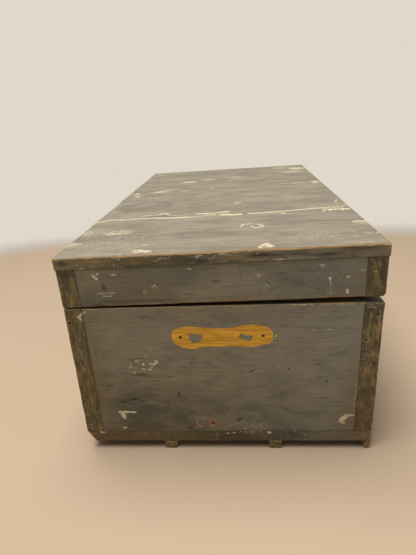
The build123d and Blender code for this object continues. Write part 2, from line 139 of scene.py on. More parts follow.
print("noise at three points:", drift([(0, 0, 0), (0.01, 0, 0), (0.02, 0, 0)], 0.02, 1).round(2))

# %% [markdown]
# ## Shapes of marks
# Each scratch, stain and patch of bare wood is a simple shape on a face. A shape gives every
# point its distance to the mark's edge, negative inside. That distance becomes a value of 0.5
# on the edge, stored on the vertices, and the material later cuts it off at 0.5 with a little
# noise. So a mark's edge is ragged and sharp although the vertices stand 2 mm apart.

# %% Shapes of marks
SOFT_EDGE = 4 * mm
FAR_AWAY = 1e9


def blot(places, centre, radii, turn=0.0):
    """Distance to an oval turned by an angle in degrees."""
    across, up = (places - centre).T
    c, s = math.cos(math.radians(turn)), math.sin(math.radians(turn))
    oval = np.hypot((across * c + up * s) / radii[0], (up * c - across * s) / radii[1])
    return (oval - 1) * min(radii)


def stroke(places, start, end, radius):
    """Distance to a straight stroke with round ends."""
    start, end = np.array(start), np.array(end)
    run = end - start
    share = np.clip(((places - start) @ run) / max(run @ run, 1e-12), 0, 1)
    return np.linalg.norm(places - start - share[:, None] * run, axis=1) - radius


def patch(places, corners):
    """Distance to the outline through the corners."""
    corners = np.array(corners, float)
    nearest = np.full(len(places), FAR_AWAY)
    inside = np.zeros(len(places), bool)
    for a, b in zip(corners, np.roll(corners, -1, axis=0)):
        nearest = np.minimum(nearest, stroke(places, a, b, 0.0))
        crosses = (a[1] > places[:, 1]) != (b[1] > places[:, 1])
        rise = b[1] - a[1] if b[1] != a[1] else 1e-9
        meets = a[0] + (places[:, 1] - a[1]) * (b[0] - a[0]) / rise
        inside ^= crosses & (places[:, 0] < meets)
    return np.where(inside, -nearest, nearest)


def strength(distance, soft=SOFT_EDGE):
    """1 well inside a mark, 0.5 on its edge and 0 well outside."""
    return np.clip(0.5 - distance / soft, 0, 1)


print("strength at 1 mm inside, on and outside an edge:", strength(np.array([-1, 0, 1]) * mm))

# %% [markdown]
# ## A board
# A sawn board is a box with its edges just broken. It starts as a cube, is beveled, and is then
# divided into a grid fine enough to carry dents and worn edges. Holes and pockets are cut out
# with booleans, as a drill and a chisel would, and a broken corner is sliced off.

# %% Make a board's mesh
ARRIS = 0.5 * mm


def box_mesh(low, high):
    """A plain box from low to high."""
    bm = bmesh.new()
    bmesh.ops.create_cube(bm, size=1)
    bmesh.ops.scale(bm, vec=Vector(high - low), verts=bm.verts)
    bmesh.ops.translate(bm, vec=Vector((high + low) / 2), verts=bm.verts)
    return bm


def sawn_board(low, high, grid, snap):
    """A box from low to high with broken edges, in squares of about grid, and a corner snapped off."""
    size = Vector(high - low)
    bm = box_mesh(low, high)
    bmesh.ops.bevel(
        bm, geom=bm.edges[:], offset=ARRIS, segments=2, profile=0.5, affect="EDGES", material=-1
    )
    for axis in range(3):
        long_edges = [e for e in bm.edges if abs((e.verts[0].co - e.verts[1].co)[axis]) > 1.5 * grid]
        if long_edges:
            cuts = max(1, round(size[axis] / grid) - 1)
            bmesh.ops.subdivide_edges(bm, edges=long_edges, cuts=cuts, use_grid_fill=True)
    if snap:
        whole = bm.verts[:] + bm.edges[:] + bm.faces[:]
        cut = bmesh.ops.bisect_plane(bm, geom=whole, plane_co=snap[0], plane_no=snap[1], clear_outer=True)
        rim = [e for e in cut["geom_cut"] if isinstance(e, bmesh.types.BMEdge)]
        bmesh.ops.contextual_create(bm, geom=rim)
    return bm


def carve(bm, cutters):
    """Take the cutters' shapes out of a board, and return the mesh."""
    mesh = bpy.data.meshes.new("board")
    bm.to_mesh(mesh)
    bm.free()
    if not cutters:
        return mesh
    whole = bpy.data.objects.new("board", mesh)
    bpy.context.scene.collection.objects.link(whole)
    for number, cutter in enumerate(cutters):
        cutter_mesh = bpy.data.meshes.new("cutter")
        cutter.to_mesh(cutter_mesh)
        cutter.free()
        tool = bpy.data.objects.new(f"cutter_{number}", cutter_mesh)
        bpy.context.scene.collection.objects.link(tool)
        cut = whole.modifiers.new("cut", "BOOLEAN")
        cut.operation = "DIFFERENCE"
        cut.solver = "EXACT"
        cut.object = tool
    bpy.context.view_layer.update()
    carved = bpy.data.meshes.new_from_object(whole.evaluated_get(bpy.context.evaluated_depsgraph_get()))
    for cut in whole.modifiers[:]:
        bpy.data.objects.remove(cut.object)
    bpy.data.objects.remove(whole)
    return carved


print("arris in millimetres:", round(ARRIS / mm, 2))

# %% [markdown]
# ## Wear and grain on a board
# The board's points are measured from its six faces, and an edge is named by the two faces that
# meet in it, as in -y+z. Near a worn edge, a point moves in until the edge is cut back by an
# uneven amount, and the paint is gone a little further than that. Everything that wear does
# takes wood away, so a board stays inside its CAD box. The same step stores what the material
# needs: how bare, chipped, stained or unpainted each point is, and where painted shade darkens
# the narrow gaps at the saw cut and under the lid top's overhang.

# %% Weather a board
FACES = ("-x", "-y", "-z", "+x", "+y", "+z")
INWARD = np.vstack([np.eye(3), -np.eye(3)])
ATTRIBUTES = ("bare", "fresh", "chip", "rust", "grime", "brown", "cool", "faded", "raw", "end", "tone")
NICK_SIZE, PATCH_SIZE, SHRED_SIZE, WARP_SIZE = 11 * mm, 38 * mm, 8 * mm, 60 * mm
PAINT_HOLDS = 0.8 * mm
HOLLOW = 0.12 * mm


def faces_of(edge):
    """The numbers of the two faces that an edge is named by."""
    return FACES.index(edge[:2]), FACES.index(edge[2:])


def most(fields, name, values):
    """Keep the greater of a field's old and new values."""
    fields[name] = np.maximum(fields[name], values)


def wear_edges(points, gaps, spec, fields):
    """Cut the worn edges back, and bare the wood beside them."""
    seed = spec["seed"]
    nicks = np.clip(drift(points, NICK_SIZE, seed) - 0.4, 0, 1)
    patchy = 0.5 + 1.6 * drift(points, PATCH_SIZE, seed + 1) + 0.9 * drift(points, SHRED_SIZE, seed + 2)
    for edge, depth in spec["worn"].items():
        first, second = faces_of(edge)
        even = spec["even"].get(edge, 0)
        reach = gaps[:, first] + gaps[:, second]
        cut = depth * mm * (0.8 + 0.25 * patchy + 1.6 * nicks)
        push = np.clip(cut - reach, 0, None) / 2
        points += push[:, None] * (INWARD[first] + INWARD[second])
        rubbed = depth * mm * np.clip(patchy * (1 - even) + 1.1 * even + 2.0 * nicks, 0, 2.2)
        most(fields, "bare", strength(reach + PAINT_HOLDS - 1.5 * rubbed))


def soil_and_shade_edges(gaps, spec, fields):
    """Dirt in the joints named dark, and painted shade on the sawn face inside each lip, where the narrow gap is
    in shade.
    """
    for edge in spec["dark"]:
        first, second = faces_of(edge)
        most(fields, "grime", 0.95 * strength(gaps[:, first] + gaps[:, second] - 0.7 * mm, 2.0 * mm))
    # The sawn face inside each lip is coloured near black up to about 12 mm from the outer face: painted shade for
    # the narrow gaps at the saw cut and under the lid top's overhang.
    for edge in spec["lip"]:
        first, second = faces_of(edge)
        on_lip = (gaps[:, first] < 0.1 * mm) & (gaps[:, second] > 0.3 * mm)
        most(fields, "grime", 0.97 * on_lip * strength(gaps[:, second] - 8 * mm, 8 * mm))


def weather(points, low, high, spec):
    """Move points in at worn edges and hollow the faces. Returns the fields that the material reads."""
    gaps = np.hstack([points - low, high - points])
    fields = {name: np.zeros(len(points)) for name in ATTRIBUTES}
    for name in spec["raw"]:
        most(fields, "raw", strength(gaps[:, FACES.index(name)] - 0.15 * mm, 0.5 * mm))
    if spec["faded"]:
        fields["faded"] = strength(gaps[:, FACES.index(spec["faded"])] - 1.2 * mm, 3 * mm)
    ends = np.minimum(gaps[:, spec["grain"]], gaps[:, spec["grain"] + 3])
    fields["end"] = strength(ends - 0.6 * mm, mm)
    wear_edges(points, gaps, spec, fields)
    soil_and_shade_edges(gaps, spec, fields)
    if spec["snap"]:
        away = (points - spec["snap"][0]) @ spec["snap"][1]
        most(fields, "bare", 0.75 * strength(np.abs(away) - 1.5 * mm, 3 * mm))
    nearest = np.sort(gaps, axis=1)
    flat = np.clip(nearest[:, 1] / (4 * mm), 0, 1) * (nearest[:, 0] < 0.2 * mm)
    hollow = HOLLOW * (1 + drift(points, WARP_SIZE, spec["seed"] + 3))
    points += (flat * hollow)[:, None] * INWARD[np.argmin(gaps, axis=1)]
    return fields


print("faces:", FACES, " fields:", len(ATTRIBUTES))

# %% [markdown]
# ## From a CAD board to a worn one
# A worn board takes its box from the CAD board that it stands for, and rides on the same body.
# Its grain runs across the trunk or along it. The place in the plank along and across the grain
# is stored too, and a shift by the seed gives every plank its own stretch of wood.

# %% A worn board
ACROSS, ALONG = 0, 1
SEED_SHIFT = np.array([1.37, 0.61, 0.29])
PLAIN_BOARD = {
    "worn": {}, "even": {}, "dark": (), "lip": (), "raw": (),
    "faded": None, "marks": None, "cutters": (), "snap": None,
}


def board(node, body, paint, grain, grid, seed, **choices):
    """A weathered board that stands for a CAD node, in squares of grid millimetres."""
    spec = {**PLAIN_BOARD, **choices, "grain": grain, "seed": seed}
    low, high = box_in(node, body)
    mesh = carve(sawn_board(low, high, grid * mm, spec["snap"]), spec["cutters"])
    points = np.zeros(len(mesh.vertices) * 3)
    mesh.vertices.foreach_get("co", points)
    points = points.reshape(-1, 3)
    measured = points.copy()
    fields = weather(points, low, high, spec)
    if spec["marks"]:
        spec["marks"](measured, points, fields)
    others = [axis for axis in range(3) if axis != grain]
    others.sort(key=lambda axis: low[axis] - high[axis])
    along = measured[:, [grain, *others]] + seed * SEED_SHIFT
    turn = np.array(PLACES[body])
    points = points @ turn[:3, :3].T + turn[:3, 3]
    mesh.vertices.foreach_set("co", points.astype(np.float32).ravel())
    mesh.attributes.new("grain", "FLOAT_VECTOR", "POINT").data.foreach_set("vector", along.ravel())
    for name, values in fields.items():
        mesh.attributes.new(name, "FLOAT", "POINT").data.foreach_set("value", values)
    mesh.update()
    mesh.name = "worn_" + node
    mesh.materials.append(paint)
    piece = bpy.data.objects.new("worn_" + node, mesh)
    bpy.context.scene.collection.objects.link(piece)
    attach(piece, body)
    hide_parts(node)
    return piece


print("shift of the grain per seed, in metres:", SEED_SHIFT)

# %% [markdown]
# ## Building materials
# A material is a small tree of nodes. These helpers add a node, give its sockets a value or a
# link, and return its output, so that a material reads like a recipe.

# %% Helpers for material nodes
def step(tree, kind, inputs, output=0, **settings):
    """Add one node and return one of its outputs."""
    made = tree.nodes.new("ShaderNode" + kind)
    for key, value in settings.items():
        setattr(made, key, value)
    for key, value in inputs.items():
        if isinstance(value, bpy.types.NodeSocket):
            tree.links.new(value, made.inputs[key])
        else:
            made.inputs[key].default_value = value
    return made.outputs[output] if made.outputs else None


def noise(tree, where, stretch, detail=4.0, roughness=0.6):
    """Noise between 0 and 1, with its waves squeezed by stretch along each axis, per metre."""
    placed = step(tree, "Mapping", {"Vector": where, "Scale": stretch})
    return step(tree, "TexNoise", {"Vector": placed, "Scale": 1.0, "Detail": detail, "Roughness": roughness})


def between(tree, value, low, high, to_low=0.0, to_high=1.0):
    """A smooth rise from to_low to to_high as value goes from low to high."""
    inputs = {0: value, 1: low, 2: high, 3: to_low, 4: to_high}
    return step(tree, "MapRange", inputs, interpolation_type="SMOOTHSTEP")


def blend(tree, amount, first, second):
    """Mix two colours by amount."""
    return step(tree, "Mix", {0: amount, 6: first, 7: second}, output=2, data_type="RGBA")


def tint(tree, colour, other, pattern, low, high, share=1.0):
    """Bring in another colour as a pattern goes from low to high, up to a share of it."""
    return blend(tree, between(tree, pattern, low, high, 0.0, share), colour, other)


def sum_of(tree, first, second):
    return step(tree, "Math", {0: first, 1: second}, operation="ADD")


def times(tree, first, second):
    return step(tree, "Math", {0: first, 1: second}, operation="MULTIPLY")


def rgb(red, green, blue):
    return (red, green, blue, 1.0)


def stored(tree, name):
    """A value that the board's vertices carry."""
    return step(tree, "Attribute", {}, output=2, attribute_name=name)


def field(tree, name, spread, amount):
    """A stored mark, cut off sharply where it passes 0.5, with a ragged edge."""
    rag = times(tree, sum_of(tree, spread, -0.5), amount)
    return between(tree, sum_of(tree, stored(tree, name), rag), 0.47, 0.53)


def new_material(name):
    made = bpy.data.materials.new(name)
    made.use_nodes = True
    made.node_tree.nodes.clear()
    return made


def surface(tree, colour, roughness, height, depth, metallic=0.0):
    """Close a material with one surface shader and its bump."""
    bump = step(tree, "Bump", {"Height": height, "Distance": depth, "Strength": 1.0})
    inputs = {"Base Color": colour, "Roughness": roughness, "Normal": bump, "Metallic": metallic}
    step(tree, "OutputMaterial", {"Surface": step(tree, "BsdfPrincipled", inputs)})


print("a colour in linear light:", rgb(0.5, 0.4, 0.3))

# %% [markdown]
# ## Colours and patterns of old painted pine
# The colours go from the wood outwards: fresh and aged pine, end grain, an old cream coat, grey
# paint, rust and dirt. The dirt's near black also paints shade into narrow gaps. The patterns are
# noise along the grain. The first of their three numbers is how often they change along the
# plank, per metre, and the others are across it, so that most of them are streaks.

# %% Colours and patterns
OCHRE = rgb(0.60, 0.268, 0.017)
OCHRE_PALE = rgb(0.85, 0.44, 0.036)
TAN_DARK = rgb(0.165, 0.094, 0.030)
TAN_PALE = rgb(0.43, 0.255, 0.090)
OLD_PINE = rgb(0.30, 0.20, 0.105)
OLD_PINE_DARK = rgb(0.15, 0.095, 0.05)
END_DARK = rgb(0.040, 0.026, 0.006)
END_LIGHT = rgb(0.335, 0.228, 0.066)
CREAM = rgb(0.66, 0.55, 0.36)
GREY_DARK = rgb(0.062, 0.061, 0.043)
GREY = rgb(0.222, 0.188, 0.120)
GREY_LIGHT = rgb(0.310, 0.272, 0.195)
COOL_GREY = rgb(0.232, 0.218, 0.176)
FADED = rgb(0.262, 0.221, 0.156)
FADED_SHADE = rgb(0.180, 0.150, 0.102)
BROWN_STAIN = rgb(0.130, 0.080, 0.016)
RUST = rgb(0.46, 0.215, 0.095)
RUST_DARK = rgb(0.15, 0.080, 0.036)
# Near black of dirt, also used as painted shade in the narrow gaps at the lid's edges.
GRIME_AND_SHADE = rgb(0.020, 0.016, 0.008)
PATTERNS = {
    "slow": ((6, 11, 11), 3, 0.6),
    "cloudy": ((22, 44, 44), 6, 0.65),
    "smears": ((40, 190, 190), 6, 0.7),
    "brush": ((12, 640, 640), 4, 0.7),
    "fibres": ((45, 900, 900), 5, 0.7),
    "rings": ((3, 60, 60), 2, 0.6),
    "veins": ((28, 260, 260), 5, 0.7),
    "rough_grain": ((170, 520, 520), 6, 0.8),
    "flaky": ((260, 620, 620), 5, 0.75),
    "specks": ((520, 900, 900), 3, 0.7),
    "pores": ((500, 380, 700), 4, 0.8),
    "layers": ((60, 50, 220), 5, 0.7),
    "patches": ((30, 30, 60), 4, 0.7),
    "broad": ((9, 22, 22), 6, 0.65),
    "streaky": ((12, 200, 200), 6, 0.75),
    "hair": ((22, 520, 520), 4, 0.75),
    "flecks": ((110, 320, 320), 5, 0.75),
}


def patterns_on(tree):
    """All the patterns, laid along the plank's grain."""
    grain = step(tree, "Attribute", {}, output=1, attribute_name="grain")
    return SimpleNamespace(**{name: noise(tree, grain, *how) for name, how in PATTERNS.items()})


print("patterns:", len(PATTERNS))

# %% [markdown]
# ## Wood
# Bare pine shows its yearly rings and its fibres. It is fresh and ochre where the handle's plate
# covered it until lately, tan where the edges are rubbed, and brown inside the trunk, where it
# was never painted. The end grain is darker, because it drinks paint and dirt.

# %% Bare wood
RING_WAVES = 70.0


def pine_layers(tree, p):
    """The wood under the paint, and the aged wood of the inside."""
    ringed = step(tree, "Math", {0: times(tree, p.rings, RING_WAVES)}, operation="SINE")
    ringed = between(tree, ringed, -1.0, 1.0)
    streaks = between(tree, p.fibres, 0.34, 0.66)
    fresh = tint(tree, OCHRE, OCHRE_PALE, p.veins, 0.36, 0.62)
    fresh = tint(tree, fresh, TAN_DARK, p.veins, 0.36, 0.28, 0.6)
    fresh = blend(tree, times(tree, streaks, 0.35), fresh, OCHRE_PALE)
    tan = blend(tree, streaks, TAN_DARK, TAN_PALE)
    wood = blend(tree, stored(tree, "fresh"), tan, fresh)
    wood = blend(tree, times(tree, ringed, 0.2), wood, TAN_DARK)
    aged = blend(tree, streaks, OLD_PINE_DARK, OLD_PINE)
    return wood, blend(tree, times(tree, ringed, 0.4), aged, OLD_PINE_DARK)


def end_grain(tree, p):
    """Sawn ends: dark and pale layers with open pores."""
    wood = tint(tree, END_DARK, END_LIGHT, p.layers, 0.42, 0.60)
    wood = tint(tree, wood, END_DARK, p.patches, 0.46, 0.60, 0.85)
    wood = blend(tree, times(tree, stored(tree, "brown"), 0.6), wood, BROWN_STAIN)
    return tint(tree, wood, GRIME_AND_SHADE, p.pores, 0.47, 0.34, 0.9)


print("waves of the rings:", RING_WAVES)


# %% [markdown]
# ## Paint
# The grey oil paint was brushed on along the boards, and has turned cloudy and streaked. On the
# lid's top, light and dust have bleached it and rubbed it down to flecks of cream and dark.

# %% Grey paint
def faded_paint(tree, p):
    """Paint on the lid's top: bleached, and rubbed down to streaks along the grain."""
    paint = tint(tree, FADED_SHADE, FADED, p.broad, 0.38, 0.62)
    paint = tint(tree, paint, CREAM, p.streaky, 0.52, 0.74, 0.40)
    paint = tint(tree, paint, GREY_DARK, p.streaky, 0.47, 0.28, 0.60)
    paint = tint(tree, paint, CREAM, p.flecks, 0.58, 0.72, 0.50)
    paint = tint(tree, paint, GREY_DARK, p.flecks, 0.42, 0.28, 0.50)
    paint = tint(tree, paint, CREAM, p.hair, 0.56, 0.74, 0.45)
    return tint(tree, paint, GREY_DARK, p.hair, 0.44, 0.28, 0.55)


RUST_SHOWS = 0.85


def grey_coat(tree, p, dark, middle, light, wild):
    """The grey coat in three tones, with stains and rust on it."""
    tone = sum_of(tree, between(tree, p.slow, 0.34, 0.66), stored(tree, "tone"))
    paint = blend(tree, stored(tree, "cool"), blend(tree, tone, dark, middle), COOL_GREY)
    paint = tint(tree, paint, light, p.cloudy, 0.50, 0.68, 0.55 * wild)
    paint = tint(tree, paint, dark, p.cloudy, 0.48, 0.30, 0.65 * wild)
    paint = tint(tree, paint, dark, p.smears, 0.46, 0.30, 0.35 + 0.4 * wild)
    paint = tint(tree, paint, light, p.smears, 0.58, 0.72, 0.5 * wild)
    paint = tint(tree, paint, light, p.brush, 0.52, 0.72, 0.45)
    paint = tint(tree, paint, dark, p.brush, 0.47, 0.28, 0.6)
    paint = blend(tree, stored(tree, "faded"), paint, faded_paint(tree, p))
    stain = times(tree, stored(tree, "brown"), between(tree, p.cloudy, 0.3, 0.62, 0.35, 1.0))
    paint = blend(tree, stain, paint, BROWN_STAIN)
    paint = tint(tree, paint, CREAM, p.specks, 0.66, 0.74, 0.5)
    paint = tint(tree, paint, GRIME_AND_SHADE, p.specks, 0.36, 0.28, 0.7)
    rust = tint(tree, tint(tree, RUST, RUST_DARK, p.cloudy, 0.35, 0.6), RUST, p.specks, 0.4, 0.6)
    return blend(tree, times(tree, field(tree, "rust", p.rough_grain, 3.0), RUST_SHOWS), paint, rust)


print("rust hides the paint by:", RUST_SHOWS)


# %% [markdown]
# ## Painted pine
# The layers go on in the order of the real ones: the coat, chips of an older cream coat, bare
# wood where the paint has rubbed off, end grain, and dirt on top. The dirt layer also carries
# painted shade in the narrow gaps at the lid's edges. Noise along the grain cuts them, because
# paint breaks along the wood's fibres. The coat stands a little above the wood.

# %% Painted pine material
def painted_pine(name, dark, middle, light, wild=1.0, wear=0.0, ends=1.0):
    """Grey paint on pine. A wild coat is cloudier, and ends is how bare its end grain is."""
    made = new_material(name)
    tree = made.node_tree
    p = patterns_on(tree)
    wood, aged = pine_layers(tree, p)
    paint = grey_coat(tree, p, dark, middle, light, wild)
    rubbed = between(tree, sum_of(tree, p.rough_grain, wear), 0.80, 0.85)
    chipped = step(tree, "Math", {0: field(tree, "chip", p.flaky, 2.2), 1: rubbed}, operation="MAXIMUM")
    worn = field(tree, "bare", p.rough_grain, 1.5)
    colour = blend(tree, chipped, paint, tint(tree, CREAM, wood, p.fibres, 0.46, 0.70, 0.6))
    colour = blend(tree, worn, colour, wood)

    end_shows = between(tree, stored(tree, "end"), 0.4, 0.6)
    end_shows = times(tree, end_shows, between(tree, p.cloudy, 0.3, 0.7, ends, 0.7 * ends))
    end_shows = times(tree, end_shows, sum_of(tree, 1.0, times(tree, worn, -0.8)))
    end_shows = times(tree, end_shows, sum_of(tree, 1.0, times(tree, chipped, -0.9)))
    colour = blend(tree, end_shows, colour, end_grain(tree, p))
    raw = sum_of(tree, stored(tree, "raw"), times(tree, p.rough_grain, 0.2))
    colour = tint(tree, colour, aged, raw, 0.55, 0.7)
    # Dirt, and painted shade in the narrow gaps at the lid's edges, both take the colour towards near black.
    grime = stored(tree, "grime")
    smeared = sum_of(tree, grime, times(tree, sum_of(tree, p.smears, -0.5), 1.6))
    dirt_and_shade = step(tree, "Math", {0: between(tree, smeared, 0.30, 1.0), 1: grime}, operation="MINIMUM")
    colour = blend(tree, dirt_and_shade, colour, GRIME_AND_SHADE)

    roughness = sum_of(tree, between(tree, p.cloudy, 0.3, 0.7, 0.46, 0.60), times(tree, worn, 0.2))
    height = sum_of(tree, 1.0, times(tree, sum_of(tree, worn, chipped), -0.7))
    height = times(tree, height, 0.6)
    for pattern, share in ((p.fibres, 0.3), (p.brush, 0.35), (p.smears, 0.4)):
        height = sum_of(tree, height, times(tree, pattern, share))
    height = sum_of(tree, height, times(tree, times(tree, p.pores, stored(tree, "end")), 1.2))
    surface(tree, colour, roughness, height, 0.4 * mm)
    return made


end_paint = painted_pine("end_paint", GREY_DARK, GREY, GREY_LIGHT, wild=0.75)
side_paint = painted_pine("side_paint", GREY_DARK, GREY, GREY_LIGHT, wild=0.7, wear=0.02)
top_paint = painted_pine(
    "top_paint", rgb(0.050, 0.040, 0.020), rgb(0.215, 0.170, 0.088), GREY_LIGHT,
    wild=1.3, wear=0.03, ends=0.5,
)
base_paint = painted_pine(
    "base_paint", rgb(0.034, 0.026, 0.010), rgb(0.124, 0.098, 0.048), rgb(0.175, 0.145, 0.088),
    wild=1.2, wear=0.03, ends=0.5,
)
runner_wood = painted_pine(
    "runner_wood", rgb(0.120, 0.084, 0.042), rgb(0.330, 0.240, 0.130), rgb(0.440, 0.330, 0.200),
    wear=0.1,
)
print("materials:", [m.name for m in bpy.data.materials if m.name.endswith(("_paint", "_wood"))])

# %% [markdown]
# ## Marks in rows
# The marks that the photograph shows are kept in tables, one short row each. Places and sizes are
# in thousandths of the trunk's width. An oval's row holds a place and two half sizes, then a
# weight and a turn in degrees where they aren't 1 and 0. A line's row holds a half width, a
# weight and its points. A ring's row holds a place and two radii, half its width in millimetres
# and a weight.

# %% Lay marks on a board
def scaled(rows):
    """Thousandths of the trunk's width as metres."""
    return np.array(rows) * (trunk_wide / 1000)


def oval(where, x, y, long, wide, weight=1, turn=0):
    """Distance to a row's oval, and its weight."""
    return blot(where, scaled((x, y)), scaled((long, wide)), turn), weight


def line(where, half, weight, *corners):
    """Distance to a row's line, and its weight."""
    pairs = zip(corners, corners[1:])
    return np.min([stroke(where, *scaled(pair), scaled(half)) for pair in pairs], axis=0), weight


def ring(where, x, y, long, wide, half, weight):
    """Distance to a row's ring, and its weight."""
    return np.abs(blot(where, scaled((x, y)), scaled((long, wide)))) - half * mm, weight


def lay(fields, where, mask, *layers):
    """Lay marks on fields. A layer is a field's name, a shape, its rows and its soft edge in mm."""
    for name, shape, rows, soft in layers:
        for row in rows:
            away, weight = shape(where, *row)
            most(fields, name, mask * weight * strength(away, soft * mm))


def count_of(layers):
    return sum(len(rows) for _, _, rows, _ in layers)


def chance_rows(seed, count, span, long, wide, weight):
    """Seeded ovals spread over a face whose width and height are span."""
    rng = np.random.default_rng(seed)
    rows = []
    for _ in range(count):
        x, y = rng.uniform(0.03, 0.97, 2) * span
        size = rng.uniform(0.35, 1.0)
        turn = rng.uniform(-14, 14)
        rows.append((x, y, long * size, wide * size, weight * rng.uniform(0.75, 1.0), turn))
    return rows


def near_face(measured, y):
    """1 on the face that stands at y and looks at the camera, and 0 elsewhere."""
    return (measured[:, 1] < y + 2 * mm).astype(float)


def moved(rows, across, up):
    """Rows of ovals at another place."""
    return [(x + across, y + up, *rest) for x, y, *rest in rows]


print("a chance row:", [round(float(v), 2) for v in chance_rows(1, 1, (1000, 500), 20, 10, 1.0)[0]])

# %% [markdown]
# ## The print of the lost handle
# The near end has lost its lifting handle. Its plate kept the paint off, and has left its shape in
# bare ochre wood, with two islands of paint and two screw holes. Places on this end count from the
# lower left corner of the boxwork.

# %% Print of the handle
PRINT = (
    (339, 420), (341, 440), (352, 452), (372, 459), (400, 461), (428, 458), (457, 454), (500, 453),
    (533, 452), (563, 459), (600, 463), (640, 457), (656, 446), (665, 428), (664, 408), (655, 394),
    (633, 390), (600, 381), (570, 384), (540, 388), (500, 384), (460, 388), (430, 383), (412, 377),
    (390, 380), (372, 384), (354, 396), (345, 402),
)
LEFT_ISLAND = ((396, 434), (444, 430), (436, 415), (430, 404), (408, 400), (395, 416))
RIGHT_ISLAND = ((552, 420), (564, 432), (580, 424), (601, 425), (598, 411), (587, 403), (573, 409))
HANDLE_HOLES = ((368, 421), (633, 421))


def on_end(points):
    """Places on the near end, in metres from the lower left corner of the boxwork."""
    return np.column_stack([points[:, 0] - base_low[0], points[:, 2] - base_low[2]])


def print_of_handle(where, front, fields):
    """Bare wood where the handle's plate kept the paint off."""
    bare = front * strength(patch(where, scaled(PRINT)), 3 * mm)
    for island in (LEFT_ISLAND, RIGHT_ISLAND):
        bare = np.minimum(bare, 1 - strength(patch(where, scaled(island)), 3 * mm))
    most(fields, "bare", bare)
    fields["fresh"] = np.clip(2 * bare, 0, 1)


plate = scaled(PRINT).max(0) - scaled(PRINT).min(0)
print("print of the plate in millimetres:", (plate / mm).round(1))

# %% [markdown]
# ## Chips and scratches of the near end
# Where the grey has flaked off, the older cream coat shows. Most chips are a few millimetres
# long. The upper left corner has a splinter torn out, whose ends are bare wood, and the board's
# upper edge is rubbed.

# %% Cream chips of the near end
CREAM_CHIPS = (
    (216, 337, 9, 2.2), (196, 325, 6, 2.2, 1, 20), (193, 313, 6, 2.8), (235, 322, 5, 5.5),
    (237, 303, 9, 2.6), (202, 290, 6, 3), (281, 332, 6, 8), (272, 322, 7, 4.5, 1, 30),
    (262, 323, 8, 2.2, 0.9), (256, 302, 9, 5, 0.75, 10), (252, 355, 10, 2.2, 0.8), (223, 325, 3, 2),
    (264, 312, 8, 2.2, 0.9, 40), (185, 296, 3, 2, 0.8), (210, 308, 3, 2, 0.8), (142, 115, 8, 17, 1, 14),
    (141, 60, 6, 4.5, 0.95), (894, 88, 11, 6.5, 1, 25), (906, 99, 11, 5.5, 1, 40), (918, 108, 10, 3),
    (901, 78, 8, 3), (775, -3, 10, 6), (566, 56, 6, 4, 0.8), (651, 36, 6, 6), (507, 34, 5, 3),
    (527, 36, 5, 3), (672, 421, 4, 3, 0.9), (230, 313, 60, 34, 0.24), (600, 40, 80, 10, 0.32),
    (300, 30, 200, 12, 0.2), (830, 30, 120, 10, 0.24), (30, 304, 26, 12, 0.35), (960, 515, 18, 4, 0.6),
    (20, 100, 14, 60, 0.22), (55, 40, 14, 4, 0.8),
)
CREAM_LINES = (
    (4.6, 1, (130, 129), (160, 128)), (3.4, 1, (160, 128), (186, 127)),
    (3, 1, (890, 94), (905, 110), (934, 111)),
    (1.4, 0.9, (786, 439), (812, 437), (846, 441), (860, 441)), (1, 0.7, (817, 493), (879, 495)),
    (1.2, 0.8, (80, 534), (200, 534)), (2, 0.85, (250, 533), (420, 534)),
    (2, 0.85, (480, 534), (620, 534), (736, 532)), (2.8, 1, (720, 531), (747, 529), (833, 530)),
    (1.8, 0.85, (850, 528), (938, 526), (996, 526)), (1.2, 0.75, (530, 43), (620, 43)),
    (1, 0.6, (700, 43), (930, 41)), (5, 1, (68, 524), (52, 508), (45, 503)),
    (4.4, 1, (45, 503), (54, 490)), (1.4, 0.8, (935, 240), (932, 120)),
)
TORN = (
    (3.4, 1, (74, 531), (62, 520)), (3.4, 1, (54, 490), (57, 474)), (2.4, 0.9, (300, 532), (420, 533)),
    (2.4, 0.9, (455, 533), (560, 533)), (2.6, 0.95, (585, 532), (700, 532)),
    (2.2, 0.85, (850, 529), (930, 528)),
)
print("chips:", len(CREAM_CHIPS), " scratches:", len(CREAM_LINES) + len(TORN))

# %% [markdown]
# ## Dirt of the near end
# Short dark smudges lie along the grain, thickest at the lower left. The side boards' end grain
# makes a strip at each corner, dirtier than the face.

